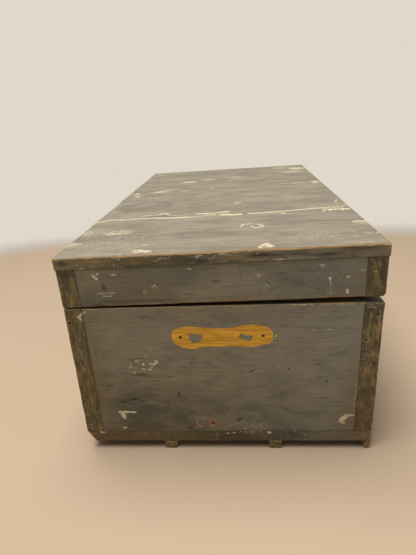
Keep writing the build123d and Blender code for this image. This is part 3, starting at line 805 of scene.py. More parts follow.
# %% Smudges of the near end
SMUDGES = (
    (112, 238, 30, 6, 0.75, 5), (97, 228, 12, 7, 0.7), (165, 205, 30, 4, 0.75, 4),
    (183, 178, 22, 5, 1, 8), (149, 170, 12, 6), (237, 193, 24, 4, 0.85, 8), (227, 284, 40, 7, 0.75),
    (245, 272, 24, 4, 0.8, -10), (346, 199, 6, 12), (306, 168, 8, 4, 0.9), (594, 289, 14, 4.5, 1, 25),
    (547, 91, 15, 6, 1, 30), (771, 122, 30, 3, 0.9, -2), (725, 126, 20, 3, 0.85, -20),
    (814, 109, 12, 4, 0.85), (708, 136, 6, 4), (690, 115, 10, 4, 0.7), (560, 466, 30, 2.5, 0.7),
    (323, 271, 10, 6, 0.8), (208, 387, 20, 5, 0.55, -10), (185, 201, 60, 30, 0.34),
    (400, 180, 60, 20, 0.35), (540, 50, 90, 5, 0.45), (330, 55, 90, 6, 0.6), (100, 80, 30, 10, 0.5),
    (760, 50, 120, 5, 0.45), (110, 300, 30, 120, 0.24), (380, 60, 20, 10, 0.6), (660, 70, 30, 14, 0.4),
    (500, 130, 90, 12, 0.28), (440, 205, 16, 4, 0.7, 10), (404, 130, 20, 8, 0.45),
    (100, 515, 60, 6, 0.4), (80, 400, 8, 120, 0.45), (60, 20, 40, 10, 0.5), (300, 18, 80, 10, 0.35),
    (560, 16, 60, 12, 0.22), (740, 20, 40, 12, 0.6), (880, 16, 60, 8, 0.5), (126, 241, 20, 3, 0.9, 6),
    (99, 223, 12, 4, 0.8), (145, 234, 16, 3, 0.8, -8), (191, 251, 26, 5, 0.7, 8),
    (199, 208, 12, 4, 0.9, 20), (169, 198, 8, 4, 0.9), (193, 180, 14, 5, 1, 4),
    (214, 173, 14, 4, 1, -6), (256, 191, 26, 3, 0.8, 10), (245, 272, 30, 3, 0.9, -6),
    (258, 283, 16, 3, 0.8), (327, 269, 8, 4, 0.9), (209, 514, 24, 3, 0.8, -6),
    (491, 160, 16, 4, 0.8, 34), (447, 204, 18, 3, 0.7, -6), (486, 126, 12, 4, 0.8, 10),
    (493, 280, 10, 4, 0.6), (180, 215, 80, 28, 0.36, 4), (240, 150, 60, 12, 0.34, -6),
    (150, 140, 80, 10, 0.3), (420, 110, 50, 10, 0.34), (300, 230, 40, 10, 0.32, -10),
    (220, 385, 40, 8, 0.34, -10), (640, 120, 50, 8, 0.4, -4),
)
DARK_LINES = (
    (1.6, 0.75, (200, 521), (273, 493), (324, 487), (396, 475), (470, 463)),
    (1, 0.85, (232, 191), (216, 172), (202, 176)), (1.2, 0.8, (562, 436), (600, 437), (660, 434)),
    (1.4, 0.8, (660, 395), (672, 385)), (1.4, 0.7, (480, 380), (545, 382)),
    (1.2, 0.8, (455, 418), (545, 420)), (1, 0.7, (375, 377), (425, 373)),
    (1, 0.7, (120, 405), (180, 402)), (1, 0.6, (355, 208), (350, 150)),
    (0.8, 0.7, (262, 280), (262, 200)), (0.8, 0.7, (276, 240), (276, 165)),
    (1, 0.7, (90, 452), (155, 450)), (0.8, 0.7, (289, 492), (325, 491)),
    (0.8, 0.7, (560, 110), (560, 60)), (0.8, 0.6, (640, 110), (645, 50)),
)
STRIP_SMUDGES = (
    (974, 130, 30, 110, 0.35), (990, 350, 6, 200, 0.5), (950, 470, 8, 60, 0.85), (950, 350, 6, 60, 0.4),
    (944, 180, 3, 120, 0.7), (30, 200, 30, 60, 0.45), (10, 400, 6, 130, 0.8), (56, 350, 6, 160, 0.75),
    (30, 420, 14, 60, 0.45), (55, 160, 10, 80, 0.6), (10, 150, 6, 100, 0.6), (30, 275, 30, 10, 0.6, 10),
    (975, 60, 30, 12, 0.5), (965, 505, 10, 14, 0.5),
)
print("smudges:", len(SMUDGES) + len(STRIP_SMUDGES), " dark lines:", len(DARK_LINES))

# %% [markdown]
# ## Stains and nail holes of the near end
# Brown stains spread over the corners and the foot, there are a few worn traces of rust red near
# the foot, and a few small nail holes. A patch here and one on the lid's rim are paler.

# %% Stains and holes of the near end
BROWN_PATCHES = (
    (30, 220, 60, 140), (30, 420, 50, 100, 0.75), (975, 130, 60, 150), (975, 350, 60, 100, 0.1),
    (240, 200, 160, 90, 0.22), (120, 80, 120, 50, 0.3), (300, 530, 300, 20, 0.45), (120, 15, 240, 40),
    (600, 10, 300, 20, 0.2),
)
PALE_PATCHES = ((520, 487, 130, 22, 0.5), (225, 612, 80, 22, 0.45))
RED_ROWS = (
    (508, 238, 3, 12.5, 1, -30), (482, 219, 8, 2.8, 0.9, 20), (317, 165, 10, 3, 0.75),
    (690, 17, 14, 4, 0.6, 20), (468, 20, 3.5, 15, 0.9), (513, 140, 5, 3, 0.9), (510, 520, 10, 6, 0.55),
    (456, 79, 9, 14, 0.8), (400, 60, 20, 6, 0.55), (975, 30, 13, 9, 0.6), (16, 33, 16, 6, 0.7),
    (30, 225, 20, 30, 0.45),
)
RED_RINGS = ((455, 80, 10.8, 13.5, 1.7, 0.85),)
RED_LINES = (
    (3.4, 1, (423, 91), (413, 96), (403, 90), (400, 78), (405, 67), (416, 64)),
    (2.4, 0.8, (417, 82), (421, 74)), (2, 0.8, (482, 216), (492, 222), (500, 228)),
)
DARK_HEARTS = ((414, 76, 4, 8, 0.5, -10), (457, 79, 10, 12, 0.85, 10))
NAIL_HOLES = ((714, 298), (839, 248), (513, 140))
STRIP_NAIL_HOLES = ((982, 490), (982, 315), (13, 481), (954, 401))
print("stains:", len(BROWN_PATCHES) + len(RED_ROWS), " nail holes:", len(NAIL_HOLES + STRIP_NAIL_HOLES))

# %% [markdown]
# ## The near end's marks together
# One function lays all the tables on whichever board a mark falls on: the end board, a side
# board's end grain or the base board's edge. Seeded chance adds finer smudges between them. The
# paint gets darker towards the foot and cooler towards the right.

# %% Lay the near end's marks
END_MARKS = (
    ("chip", oval, CREAM_CHIPS, 3), ("chip", line, CREAM_LINES, 3), ("bare", line, TORN, 3),
    ("grime", oval, SMUDGES, 5), ("grime", line, DARK_LINES, 4), ("grime", oval, DARK_HEARTS, 6),
    ("rust", oval, RED_ROWS, 4), ("rust", line, RED_LINES, 3), ("rust", ring, RED_RINGS, 4),
    ("brown", oval, BROWN_PATCHES, 60), ("faded", oval, PALE_PATCHES, 24),
    ("grime", oval, chance_rows(73, 60, (1000, 540), 22, 4, 0.42), 6),
    ("grime", oval, chance_rows(74, 50, (700, 270), 16, 4, 0.62), 6),
    ("grime", oval, chance_rows(78, 70, (450, 540), 20, 5, 0.40), 6),
    ("chip", oval, chance_rows(79, 40, (1000, 540), 12, 3, 0.42), 6),
)
DEEP_SMUDGE = 0.85
DENT_DEPTH = 0.9 * mm
HOLE_DARKENED_RADIUS = 3 * mm
HOLES_FROM, HOLES_TO = 0.2 * mm, 19 * mm


def near_end_marks(measured, points, fields):
    """All that time has done to the near end's face."""
    where = on_end(measured)
    front = near_face(measured, near_y)
    print_of_handle(where, front, fields)
    lay(fields, where, front, *END_MARKS)
    # The walls inside each hole, from just below the face, are coloured near black.
    in_holes = (measured[:, 1] > near_y + HOLES_FROM) & (measured[:, 1] < near_y + HOLES_TO)
    for place in HANDLE_HOLES + NAIL_HOLES + STRIP_NAIL_HOLES:
        away = blot(where, scaled(place), (HOLE_DARKENED_RADIUS, HOLE_DARKENED_RADIUS))
        most(fields, "grime", in_holes & (away < 0))
    for row in SMUDGES:
        away, weight = oval(where, *row)
        if weight > DEEP_SMUDGE:
            points[:, 1] += front * weight * strength(away, 5 * mm) * DENT_DEPTH
    across, up = where.T / scaled(1)
    lower = np.clip(1 - up / 360, 0, 1)
    left = np.clip(1 - across / 600, 0, 1)
    fields["tone"] = front * np.maximum(0.70 - lower * (1.70 + 0.1 * left), -0.28)
    fields["cool"] = front * np.clip(1.5 * across / 1000 - 0.75, 0, 0.75)


print("marks on the near end:", count_of(END_MARKS))

# %% [markdown]
# ## Wear of the hidden faces
# The photograph doesn't show the long sides and the far end. They get the same kinds of wear, by
# seeded chance: chips, smudges, rubbed spots, rust and brown stains. A side board takes its own
# chance marks as well as the near end's, because its end grain is part of that face.

# %% Chance wear
KNOCKS = (
    ("chip", 22, 26, 9, 0.85, 10), ("chip", 5, 100, 30, 0.30, 4), ("grime", 26, 50, 8, 0.9, 8),
    ("bare", 9, 18, 9, 0.8, 8), ("rust", 6, 10, 8, 0.8, 4), ("brown", 8, 260, 60, 0.6, 60),
)
STRIP = (60, 540)
OTHER_STRIP = 940


def knocks(where, face, fields, seed, size):
    """Chips, smudges, stains and rust all over a face."""
    mask = face.astype(float)
    most(fields, "tone", 0.35 * mask)
    for number, (name, count, long, wide, weight, soft) in enumerate(KNOCKS):
        rows = chance_rows(seed + number, count, size / scaled(1), long, wide, weight)
        lay(fields, where, mask, (name, oval, rows, soft))


def side_knocks(measured, fields, seed):
    """Wear on both long faces of a side board."""
    low, high = measured.min(0), measured.max(0)
    for number, face in enumerate((measured[:, 0] < low[0] + mm, measured[:, 0] > high[0] - mm)):
        knocks(measured[:, 1:] - low[1:], face, fields, seed + 10 * number, high[1:] - low[1:])


def far_knocks(seed):
    """Marks for an end board's face that looks away from the camera."""

    def marks(measured, points, fields):
        low, high = measured.min(0), measured.max(0)
        where = measured[:, (0, 2)] - low[[0, 2]]
        knocks(where, measured[:, 1] > high[1] - mm, fields, seed, (high - low)[[0, 2]])

    return marks


def corner_marks(seed):
    """Marks for a side board, whose end grain shows beside the near end."""
    spots = chance_rows(seed, 34, STRIP, 12, 6, 1.0)
    pale = chance_rows(seed + 1, 12, STRIP, 7, 3, 0.6)
    layers = (
        ("grime", oval, STRIP_SMUDGES, 9),
        ("grime", oval, spots + moved(spots, OTHER_STRIP, 0), 6),
        ("chip", oval, pale + moved(pale, OTHER_STRIP, 0), 4),
    )

    def marks(measured, points, fields):
        near_end_marks(measured, points, fields)
        lay(fields, on_end(measured), near_face(measured, near_y), *layers)
        side_knocks(measured, fields, seed)

    return marks


print("chance marks on each hidden face:", sum(count for _, count, *_ in KNOCKS))

# %% [markdown]
# ## The lid rim's marks
# The lid's rim has the same paint as the end, darker and dirtier. Its foot, along the saw cut, is
# rubbed to bare wood in places. Heights count on from the near end's, as if the lid were shut.

# %% Marks of the lid's rim
RIM_CHIPS = (
    (117, 645, 4, 8, 1, 30), (124, 637, 4, 8, 1, 30), (130, 652, 7, 4, 0.9, 50),
    (180, 647, 10, 3, 0.85), (833, 606, 4.5, 6), (886, 609, 6, 3), (885, 560, 5, 10, 0.9),
    (964, 623, 6, 2.5), (927, 628, 4, 3, 0.9), (300, 602, 10, 6, 0.5), (276, 586, 10, 6, 0.5),
    (810, 646, 12, 10, 0.45), (836, 560, 16, 4, 0.6), (501, 686, 3, 5), (620, 625, 14, 6, 0.5),
    (413, 656, 14, 3, 0.75), (160, 650, 60, 14, 0.16), (880, 600, 80, 40, 0.16),
)
RIM_LINES = (
    (1.3, 1, (115, 587), (179, 587)), (1.4, 1, (134, 580), (150, 576), (168, 579)),
    (1, 0.85, (64, 550), (98, 548), (114, 557), (123, 565)), (1.3, 0.95, (834, 628), (835, 560)),
    (0.9, 0.8, (820, 607), (884, 607)), (1.2, 0.8, (397, 546), (475, 548)),
)
RIM_BARE = (
    (927, 556, 6, 5, 0.95), (941, 607, 4, 3, 0.9), (571, 556, 12, 3, 0.85), (603, 560, 6, 3, 0.8),
    (678, 556, 6, 3, 0.8), (319, 542, 8, 4, 0.9), (128, 544, 50, 3.8, 0.9), (220, 545, 30, 3.6, 0.85),
    (400, 546, 50, 3.6, 0.85), (300, 545, 30, 3.6, 0.9), (550, 546, 40, 3.2, 0.8),
    (700, 547, 30, 3.2, 0.8), (850, 547, 30, 2.8, 0.75), (480, 545, 12, 4, 0.9),
)
RIM_SMUDGES = (
    (144, 607, 6, 13), (112, 546, 46, 4, 0.95), (566, 655, 3, 14, 0.9, -10), (569, 630, 3, 14, 0.85),
    (655, 575, 4, 16, 0.85), (623, 570, 4, 12, 0.7), (771, 633, 26, 3, 0.7),
    (796, 604, 18, 4, 0.75, 10), (745, 640, 10, 10, 0.45), (493, 610, 16, 8, 0.65),
    (240, 650, 80, 8, 0.4), (470, 655, 60, 6, 0.45), (620, 660, 200, 6, 0.55), (250, 555, 200, 8, 0.62),
    (560, 560, 200, 8, 0.4), (30, 655, 26, 12, 0.85), (22, 606, 20, 4, 0.95, 5),
    (15, 630, 12, 20, 0.55), (60, 650, 6, 16, 0.8), (985, 620, 12, 50, 0.75), (950, 650, 8, 20, 0.8),
    (946, 590, 6, 30, 0.6), (970, 660, 24, 12, 0.75), (820, 660, 120, 5, 0.5), (440, 600, 60, 16, 0.18),
    (880, 580, 50, 20, 0.28), (650, 600, 8, 6, 0.6),
)
RIM_RINGS = ((653, 597, 9, 9, 0.8, 0.78), (303, 603, 6, 6, 0.8, 0.78), (272, 588, 5.5, 5.5, 0.8, 0.78))
RIM_BROWN = (
    (30, 600, 80, 80, 0.55), (975, 600, 60, 80, 0.8), (200, 600, 180, 80, 0.45),
    (500, 670, 500, 20, 0.45), (400, 540, 400, 14, 0.55),
)
RIM_FOOT = 541
RIM_MARKS = (
    ("chip", oval, RIM_CHIPS, 3), ("chip", line, RIM_LINES, 3), ("chip", ring, RIM_RINGS, 3),
    ("bare", oval, RIM_BARE, 3), ("grime", oval, RIM_SMUDGES, 5), ("brown", oval, RIM_BROWN, 50),
    ("faded", oval, PALE_PATCHES, 24),
    ("grime", oval, moved(chance_rows(75, 40, (1000, 130), 22, 4, 0.6), 0, RIM_FOOT), 6),
)
lid_low, lid_high = box_in("lid_near_rim", "lid")
rim_corner, _ = box_in("lid_hinge_rim", "lid")


def on_rim(points):
    """Places on the lid's near rim, counted as on the near end, with the rim's foot at its own height."""
    up = points[:, 2] - lid_low[2] + scaled(RIM_FOOT)
    return np.column_stack([points[:, 0] - rim_corner[0], up])


def rim_marks(measured, points, fields):
    """The lid rim's near face."""
    where = on_rim(measured)
    front = near_face(measured, lid_low[1])
    lay(fields, where, front, *RIM_MARKS)
    fields["tone"] = 0.32 * front
    fields["cool"] = front * np.clip(1.5 * where[:, 0] / trunk_wide - 0.75, 0, 0.5)


def rim_side_marks(seed):
    """Marks for a side rim."""

    def marks(measured, points, fields):
        rim_marks(measured, points, fields)
        side_knocks(measured, fields, seed)

    return marks


print("marks on the rim:", count_of(RIM_MARKS))

# %% [markdown]
# ## The lid top's marks
# On the lid's top, the old cream coat shows in a broken band along a joint, round the nails, and
# in flakes near the edges. Places are counted from its near left corner.

# %% Marks of the lid's top
BAND = (
    (6.4, 1, (6, 446), (44, 470), (125, 464), (201, 472), (250, 467)),
    (8.9, 1, (250, 462), (300, 458), (376, 455)), (4.1, 0.9, (376, 452), (468, 466), (490, 462)),
    (11.5, 1, (506, 462), (540, 456), (578, 456)), (8.1, 1, (611, 462), (678, 461), (757, 472)),
    (7, 1, (757, 472), (822, 483), (883, 490)), (5.4, 0.95, (883, 490), (925, 494), (980, 484)),
    (8.1, 1, (900, 462), (950, 460), (992, 452)), (4.3, 0.9, (173, 514), (241, 519)),
    (6.1, 0.95, (241, 522), (266, 541), (285, 520)), (3.5, 0.85, (285, 505), (315, 490), (404, 502)),
    (6.8, 1, (404, 502), (447, 503)), (4.6, 0.9, (447, 503), (495, 510), (533, 503)),
    (6.8, 0.95, (500, 512), (528, 518)), (2.4, 0.8, (40, 486), (160, 500)),
)
TOP_LINES = (
    (3, 1, (0, 120), (6, 160), (39, 151)), (2.6, 0.9, (12, 132), (30, 140)),
    (2.2, 0.8, (58, 279), (88, 276)), (3.6, 0.9, (100, 264), (123, 258), (171, 257)),
    (3, 0.8, (108, 300), (137, 303), (160, 300)), (2, 0.75, (161, 224), (158, 206)),
    (4.4, 1, (244, 40), (262, 54), (272, 40)), (5, 1, (262, 36), (282, 40), (300, 32)),
    (4, 1, (250, 26), (268, 30), (288, 24)), (2.6, 0.9, (236, 46), (250, 52)),
    (3.4, 0.9, (262, 110), (272, 95)), (6, 1, (646, 36), (656, 46), (662, 34)),
    (3.4, 1, (629, 28), (642, 46)), (3.4, 1, (640, 46), (656, 62)), (3.6, 1, (658, 52), (672, 30)),
    (4.4, 1, (632, 20), (648, 26), (664, 22)), (4, 1, (577, 270), (586, 298), (613, 302)),
    (4, 1, (616, 262), (628, 244), (648, 250)), (4.4, 1, (648, 252), (657, 266), (640, 288)),
    (2.2, 0.9, (592, 284), (606, 276), (618, 262)), (2.2, 0.75, (119, 48), (145, 38)),
    (2.2, 0.75, (902, 157), (936, 160), (969, 167)), (6, 1, (962, 264), (1002, 259)),
    (3.2, 0.9, (966, 124), (980, 108), (1002, 112)), (3.2, 0.9, (1000, 112), (1004, 130)),
    (1.2, 0.75, (731, 112), (737, 160)), (1.2, 0.75, (795, 140), (811, 99)),
    (1.2, 0.7, (812, 128), (822, 95)), (1.2, 0.7, (890, 90), (902, 64)),
    (1.2, 0.7, (930, 92), (936, 66)), (1.2, 0.65, (765, 100), (775, 170)),
    (1.6, 0.7, (300, 190), (420, 194)), (1.6, 0.7, (350, 250), (470, 248)),
    (1.4, 0.7, (450, 120), (560, 116)), (1.4, 0.65, (150, 360), (300, 352)),
    (2.6, 0.75, (500, 90), (530, 75)), (4, 0.85, (967, 575), (978, 610)),
    (3, 0.7, (120, 925), (380, 930), (560, 925)), (3, 0.75, (600, 930), (860, 935), (980, 930)),
    (3, 0.75, (100, 1395), (420, 1400)), (3, 0.75, (560, 1402), (960, 1398)),
)
TOP_RINGS = ((21, 288, 12, 18, 1.3, 0.85), (98, 278, 14, 14, 1, 0.78))
FAR_CHIPS = (
    (566, 680, 20, 34, 0.66), (200, 1010, 30, 12, 0.62), (160, 1060, 60, 30, 0.62, 20),
    (210, 1100, 60, 20, 0.6), (290, 1060, 30, 30, 0.54), (43, 1030, 22, 40, 0.62),
    (436, 1060, 26, 26, 0.5), (800, 1100, 60, 20, 0.54), (880, 1100, 60, 20, 0.6),
    (975, 1100, 26, 50, 0.62), (290, 1340, 60, 36, 0.62), (400, 1390, 60, 30, 0.6),
    (560, 1420, 80, 26, 0.6), (730, 1460, 60, 20, 0.54), (900, 1500, 80, 40, 0.6),
    (950, 1640, 60, 60, 0.62), (860, 1700, 80, 30, 0.58), (60, 1720, 40, 20, 0.56),
    (640, 860, 70, 20, 0.5), (60, 960, 30, 30, 0.56), (780, 780, 50, 20, 0.48),
)
TOP_CHIPS = (
    (740, 434, 14, 7, 0.95), (895, 434, 6, 10, 1, 30), (920, 446, 6, 12, 1, -20), (941, 446, 5, 8),
    (966, 441, 6, 10), (170, 150, 180, 100, 0.3), (840, 110, 130, 60, 0.31), (480, 484, 60, 18, 0.45),
    (140, 270, 60, 40, 0.45), (14, 140, 22, 20, 0.5), (984, 250, 30, 30, 0.45),
    (400, 30, 120, 14, 0.32), (930, 30, 80, 14, 0.4), (180, 20, 120, 14, 0.4),
)
TOP_SMUDGES = (
    (22, 429, 5, 8), (98, 278, 5, 7), (21, 285, 4, 6, 0.8), (605, 280, 12, 8, 0.5),
    (95, 1160, 30, 90, 0.4), (285, 1110, 30, 80, 0.4), (640, 570, 50, 50, 0.34, 20),
    (510, 540, 30, 8, 0.5), (600, 475, 10, 10, 0.4), (60, 220, 60, 60, 0.2), (150, 700, 140, 120, 0.52),
    (560, 210, 60, 30, 0.16), (80, 880, 80, 100, 0.3), (810, 220, 50, 50, 0.22),
    (330, 484, 80, 5, 0.45), (500, 1700, 400, 80, 0.22), (700, 1200, 200, 120, 0.18),
    (260, 620, 180, 60, 0.28),
)
TOP_SPAN = (1000, 1820)
TOP_MARKS = (
    ("chip", line, BAND, 4), ("chip", line, TOP_LINES, 4), ("chip", ring, TOP_RINGS, 4),
    ("chip", oval, TOP_CHIPS, 5), ("chip", oval, FAR_CHIPS, 18), ("grime", oval, TOP_SMUDGES, 10),
    ("chip", oval, chance_rows(61, 30, TOP_SPAN, 40, 10, 0.62), 12),
    ("chip", oval, chance_rows(62, 10, TOP_SPAN, 120, 50, 0.36), 4),
    ("grime", oval, chance_rows(63, 36, TOP_SPAN, 60, 9, 0.6), 8),
)
print("marks on the top:", count_of(TOP_MARKS))

# %% [markdown]
# ## The front of the lid's top
# The first top board also shows its front edge, which is brown and battered, with bare spots,
# dark smudges and small flakes of cream.

# %% Marks of the top board's front
FACE_BARE = (
    (134, 674, 14, 5, 0.95, -20), (560, 689, 24, 8, 0.62), (597, 687, 6, 8, 0.7),
    (994, 700, 6, 20, 0.9), (120, 694, 80, 4, 0.8), (660, 690, 12, 4, 0.7),
)
FACE_SMUDGES = (
    (240, 675, 90, 7, 0.8), (470, 680, 60, 10, 0.7), (670, 688, 60, 10, 0.75), (830, 682, 60, 4, 0.7),
    (30, 690, 26, 10, 0.8), (960, 706, 30, 5, 0.6), (26, 693, 20, 7), (70, 676, 60, 4, 0.6),
    (230, 674, 70, 5, 0.85), (230, 690, 60, 4, 0.6), (440, 680, 70, 9, 0.95), (540, 676, 40, 5, 0.8),
    (630, 690, 50, 10, 0.95), (720, 688, 60, 8, 0.7), (900, 700, 70, 8, 0.85), (820, 684, 70, 8, 0.9),
    (340, 690, 40, 6, 0.5), (960, 690, 20, 8, 0.5),
)
FACE_BROWN = ((200, 684, 200, 20, 0.9), (560, 684, 80, 20, 0.7), (940, 700, 80, 20, 0.8))
FACE_FOOT = 670
FACE_MARKS = (
    ("bare", oval, FACE_BARE, 3), ("grime", oval, FACE_SMUDGES, 6), ("brown", oval, FACE_BROWN, 20),
    ("grime", oval, moved(chance_rows(76, 46, (1000, 38), 18, 4, 0.95), 0, FACE_FOOT), 4),
    ("chip", oval, moved(chance_rows(77, 46, (720, 38), 18, 4, 0.75), 0, FACE_FOOT), 4),
)
top_corner, _ = box_in("lid_top_board_1", "lid")


def top_marks(measured, points, fields):
    """The lid's top, and the front face of its first board."""
    where = (measured - top_corner)[:, :2]
    above = (measured[:, 2] > lid_high[2] + 14 * mm).astype(float)
    lay(fields, where, above, *TOP_MARKS)
    front = (measured[:, 1] < top_corner[1] + 0.5 * mm) & (measured[:, 2] < lid_high[2] + 16 * mm)
    face = on_rim(measured)
    lay(fields, face, front, *FACE_MARKS)
    fields["cool"] = 0.6 * front * np.clip(face[:, 0] / trunk_wide - 0.4, 0, 1)


print("marks on the top board's front:", count_of(FACE_MARKS))

# %% [markdown]
# ## Holes and pockets
# The screw holes of the lost handle, a few old nail holes and the pockets of the hinges are cut
# out of the boards before they are weathered. A round cutter enters the near end, and a box cutter
# makes room for a hinge leaf in the face that the leaf lies on.

# %% Cutters for holes and pockets
KNUCKLE_REACH = 15 * mm
CUT_PAST = 2 * mm


def drills(places, radius, depth, bm=None):
    """Round cutters, radius and depth in mm, that enter the near end at places in thousandths."""
    bm = bm or bmesh.new()
    for place in places:
        x, z = scaled(place)
        turned = Matrix.Rotation(math.pi / 2, 4, "X")
        bmesh.ops.create_cone(
            bm,
            cap_ends=True,
            segments=20,
            radius1=radius * mm,
            radius2=radius * mm,
            depth=2 * depth * mm,
            matrix=Matrix.Translation((base_low[0] + x, near_y, base_low[2] + z)) @ turned,
        )
    return bm


def pocket(leaf, board_name, body):
    """A box cutter for a hinge leaf, without its knuckles, that runs out of the board's faces."""
    leaf_points = node_points(leaf, body)
    plate = leaf_points[leaf_points[:, 0] > leaf_points[:, 0].min() + KNUCKLE_REACH]
    low, high = plate.min(0), plate.max(0)
    board_low, board_high = box_in(board_name, body)
    low[0] = board_low[0] - CUT_PAST
    if high[2] > board_high[2]:
        high[2] = board_high[2] + CUT_PAST
    else:
        low[2] = board_low[2] - CUT_PAST
    return box_mesh(low, high)


near_end_holes = drills(NAIL_HOLES, 1.4, 4, drills(HANDLE_HOLES, 2.5, 18))
left_holes = drills([place for place in STRIP_NAIL_HOLES if place[0] < 500], 1.6, 4)
right_holes = drills([place for place in STRIP_NAIL_HOLES if place[0] > 500], 1.6, 4)
print("faces of the near end's cutters:", len(near_end_holes.faces))

# %% [markdown]
# ## The walls of the chest
# The end boards stand between the side boards, so the side boards show their end grain at the
# corners. The rims are rubbed, most of all on the opening side. The inner faces and the sawn
# rims were never painted. Near their outer face the sawn rims carry painted shade, for the gap
# at the saw cut.

# %% Walls of the chest
near_end = board(
    "near_end_board", "chest", end_paint, ACROSS, 1.8, 11,
    worn={"-y+z": 1.4}, even={"-y+z": 0.7},
    dark=("-y-x", "-y+x", "-y-z"), lip=("+z-y",), raw=("+y", "+z"),
    marks=near_end_marks, cutters=[near_end_holes],
)
far_end = board(
    "far_end_board", "chest", end_paint, ACROSS, 3, 12,
    worn={"+y+z": 1.3},
    dark=("+y-x", "+y+x", "+y-z"), lip=("+z+y",), raw=("-y", "+z"),
    marks=far_knocks(110),
)
body_pockets = [pocket(f"hinge_{i}_body_leaf", "hinge_side_board", "chest") for i in (1, 2)]
hinge_side = board(
    "hinge_side_board", "chest", side_paint, ALONG, 2.6, 13,
    worn={"-x+z": 0.9, "-x-y": 1.3, "-x+y": 1.5, "-y+z": 0.8, "+y+z": 1.2},
    dark=("-y+x", "+y+x", "-x-z", "-y-z"), lip=("+z-x", "+z-y", "+z+y"), raw=("+x", "+z"),
    marks=corner_marks(120), cutters=body_pockets + [left_holes],
)
opening_side = board(
    "opening_side_board", "chest", side_paint, ALONG, 2.6, 14,
    worn={"+x+z": 3.6, "+x-y": 1.4, "+x+y": 1.6, "-y+z": 2.2, "+y+z": 1.4},
    dark=("-y-x", "+y-x", "+x-z", "-y-z"), lip=("+z+x", "+z-y", "+z+y"), raw=("-x", "+z"),
    marks=corner_marks(140), cutters=[right_holes],
)
walls = (near_end, far_end, hinge_side, opening_side)
print("vertices of the walls:", [len(wall.data.vertices) for wall in walls])

# %% [markdown]
# ## The base boards
# Four boards make the bottom. Only the first shows in the photograph, and its lower left corner
# is broken off along a slanted plane, which bares the wood.

# %% Base boards
snap_corners = [
    Vector((base_low[0] + 1.2 * mm, near_y, base_high[2])),
    Vector((base_low[0] + 12.6 * mm, near_y, base_low[2])),
    Vector((base_low[0], near_y + 45 * mm, base_low[2] + 10 * mm)),
]
snap_normal = (snap_corners[2] - snap_corners[0]).cross(snap_corners[1] - snap_corners[0]).normalized()
if snap_normal.x > 0:
    snap_normal.negate()
BASE_WORN = {
    1: {"-y-z": 1.0, "-x-y": 1.6, "+x-y": 2.4},
    4: {"+y-z": 1.2, "-x+y": 1.6, "+x+y": 1.6},
}
for i in range(1, 5):
    first = i == 1
    board(
        f"base_board_{i}", "chest", base_paint, ACROSS, 2.2 if first else 5, 20 + i,
        worn={"-x-z": 1.4, "+x-z": 1.4, **BASE_WORN.get(i, {})},
        dark=("-y+z",) if first else ("-x+z", "+x+z", "-x-y", "-x+y", "+x-y", "+x+y"),
        raw=("+z",),
        marks=near_end_marks if first else None,
        snap=(snap_corners[0], snap_normal) if first else None,
    )
print("the broken corner's plane faces:", [round(v, 2) for v in snap_normal])

# %% [markdown]
# ## The runners
# Bare pine strips under the base keep it off a damp floor. Their edges and ends are knocked
# round, because the trunk has been dragged on them.

# %% Runners
RUNNERS = ("middle_runner_1", "middle_runner_2", "opening_side_runner", "hinge_side_runner")
for i, node in enumerate(RUNNERS):
    worn = {"-x-z": 2.0, "+x-z": 2.0, "-y-z": 2.2, "+y-z": 2.2, "-x-y": 1.6, "+x-y": 1.6}
    board(node, "chest", runner_wood, ALONG, 3, 30 + i, worn=worn)
print("runners:", len(RUNNERS))

# %% [markdown]
# ## The lid's rim
# The lid was sawn off the same box, so its rim repeats the chest's joints, and its wear mirrors
# that of the chest's rim across the saw cut. Its sawn foot carries painted shade near the outer
# face, for the gap.

# %% Rim of the lid
board(
    "lid_near_rim", "lid", end_paint, ACROSS, 1.6, 41,
    worn={"-y-z": 1.7}, even={"-y-z": 0.25},
    dark=("-y-x", "-y+x", "-y+z"), lip=("-z-y",), raw=("+y", "-z"),
    marks=rim_marks,
)
board(
    "lid_far_rim", "lid", end_paint, ACROSS, 3, 42,
    worn={"+y-z": 1.2},
    dark=("+y-x", "+y+x", "+y+z"), lip=("-z+y",), raw=("-y", "-z"),
    marks=far_knocks(210),
)
lid_pockets = [pocket(f"hinge_{i}_lid_leaf", "lid_hinge_rim", "lid") for i in (1, 2)]
board(
    "lid_hinge_rim", "lid", side_paint, ALONG, 2.2, 43,
    worn={"-x-z": 0.9, "-x-y": 1.2, "-x+y": 1.4, "-y-z": 0.8, "+y-z": 1.0},
    dark=("-y+x", "+y+x", "-x+z", "-y+z"), lip=("-z-x", "-z-y", "-z+y"), raw=("+x", "-z"),
    marks=rim_side_marks(220), cutters=lid_pockets,
)
board(
    "lid_opening_rim", "lid", side_paint, ALONG, 2.2, 44,
    worn={"+x-z": 3.6, "+x-y": 1.3, "+x+y": 1.5, "-y-z": 1.2, "+y-z": 1.2},
    dark=("-y-x", "+y-x", "+x+z", "-y+z"), lip=("-z+x", "-z-y", "-z+y"), raw=("-x", "-z"),
    marks=rim_side_marks(240),
)
print("height of the rim in millimetres:", round((lid_high[2] - lid_low[2]) / mm, 1))
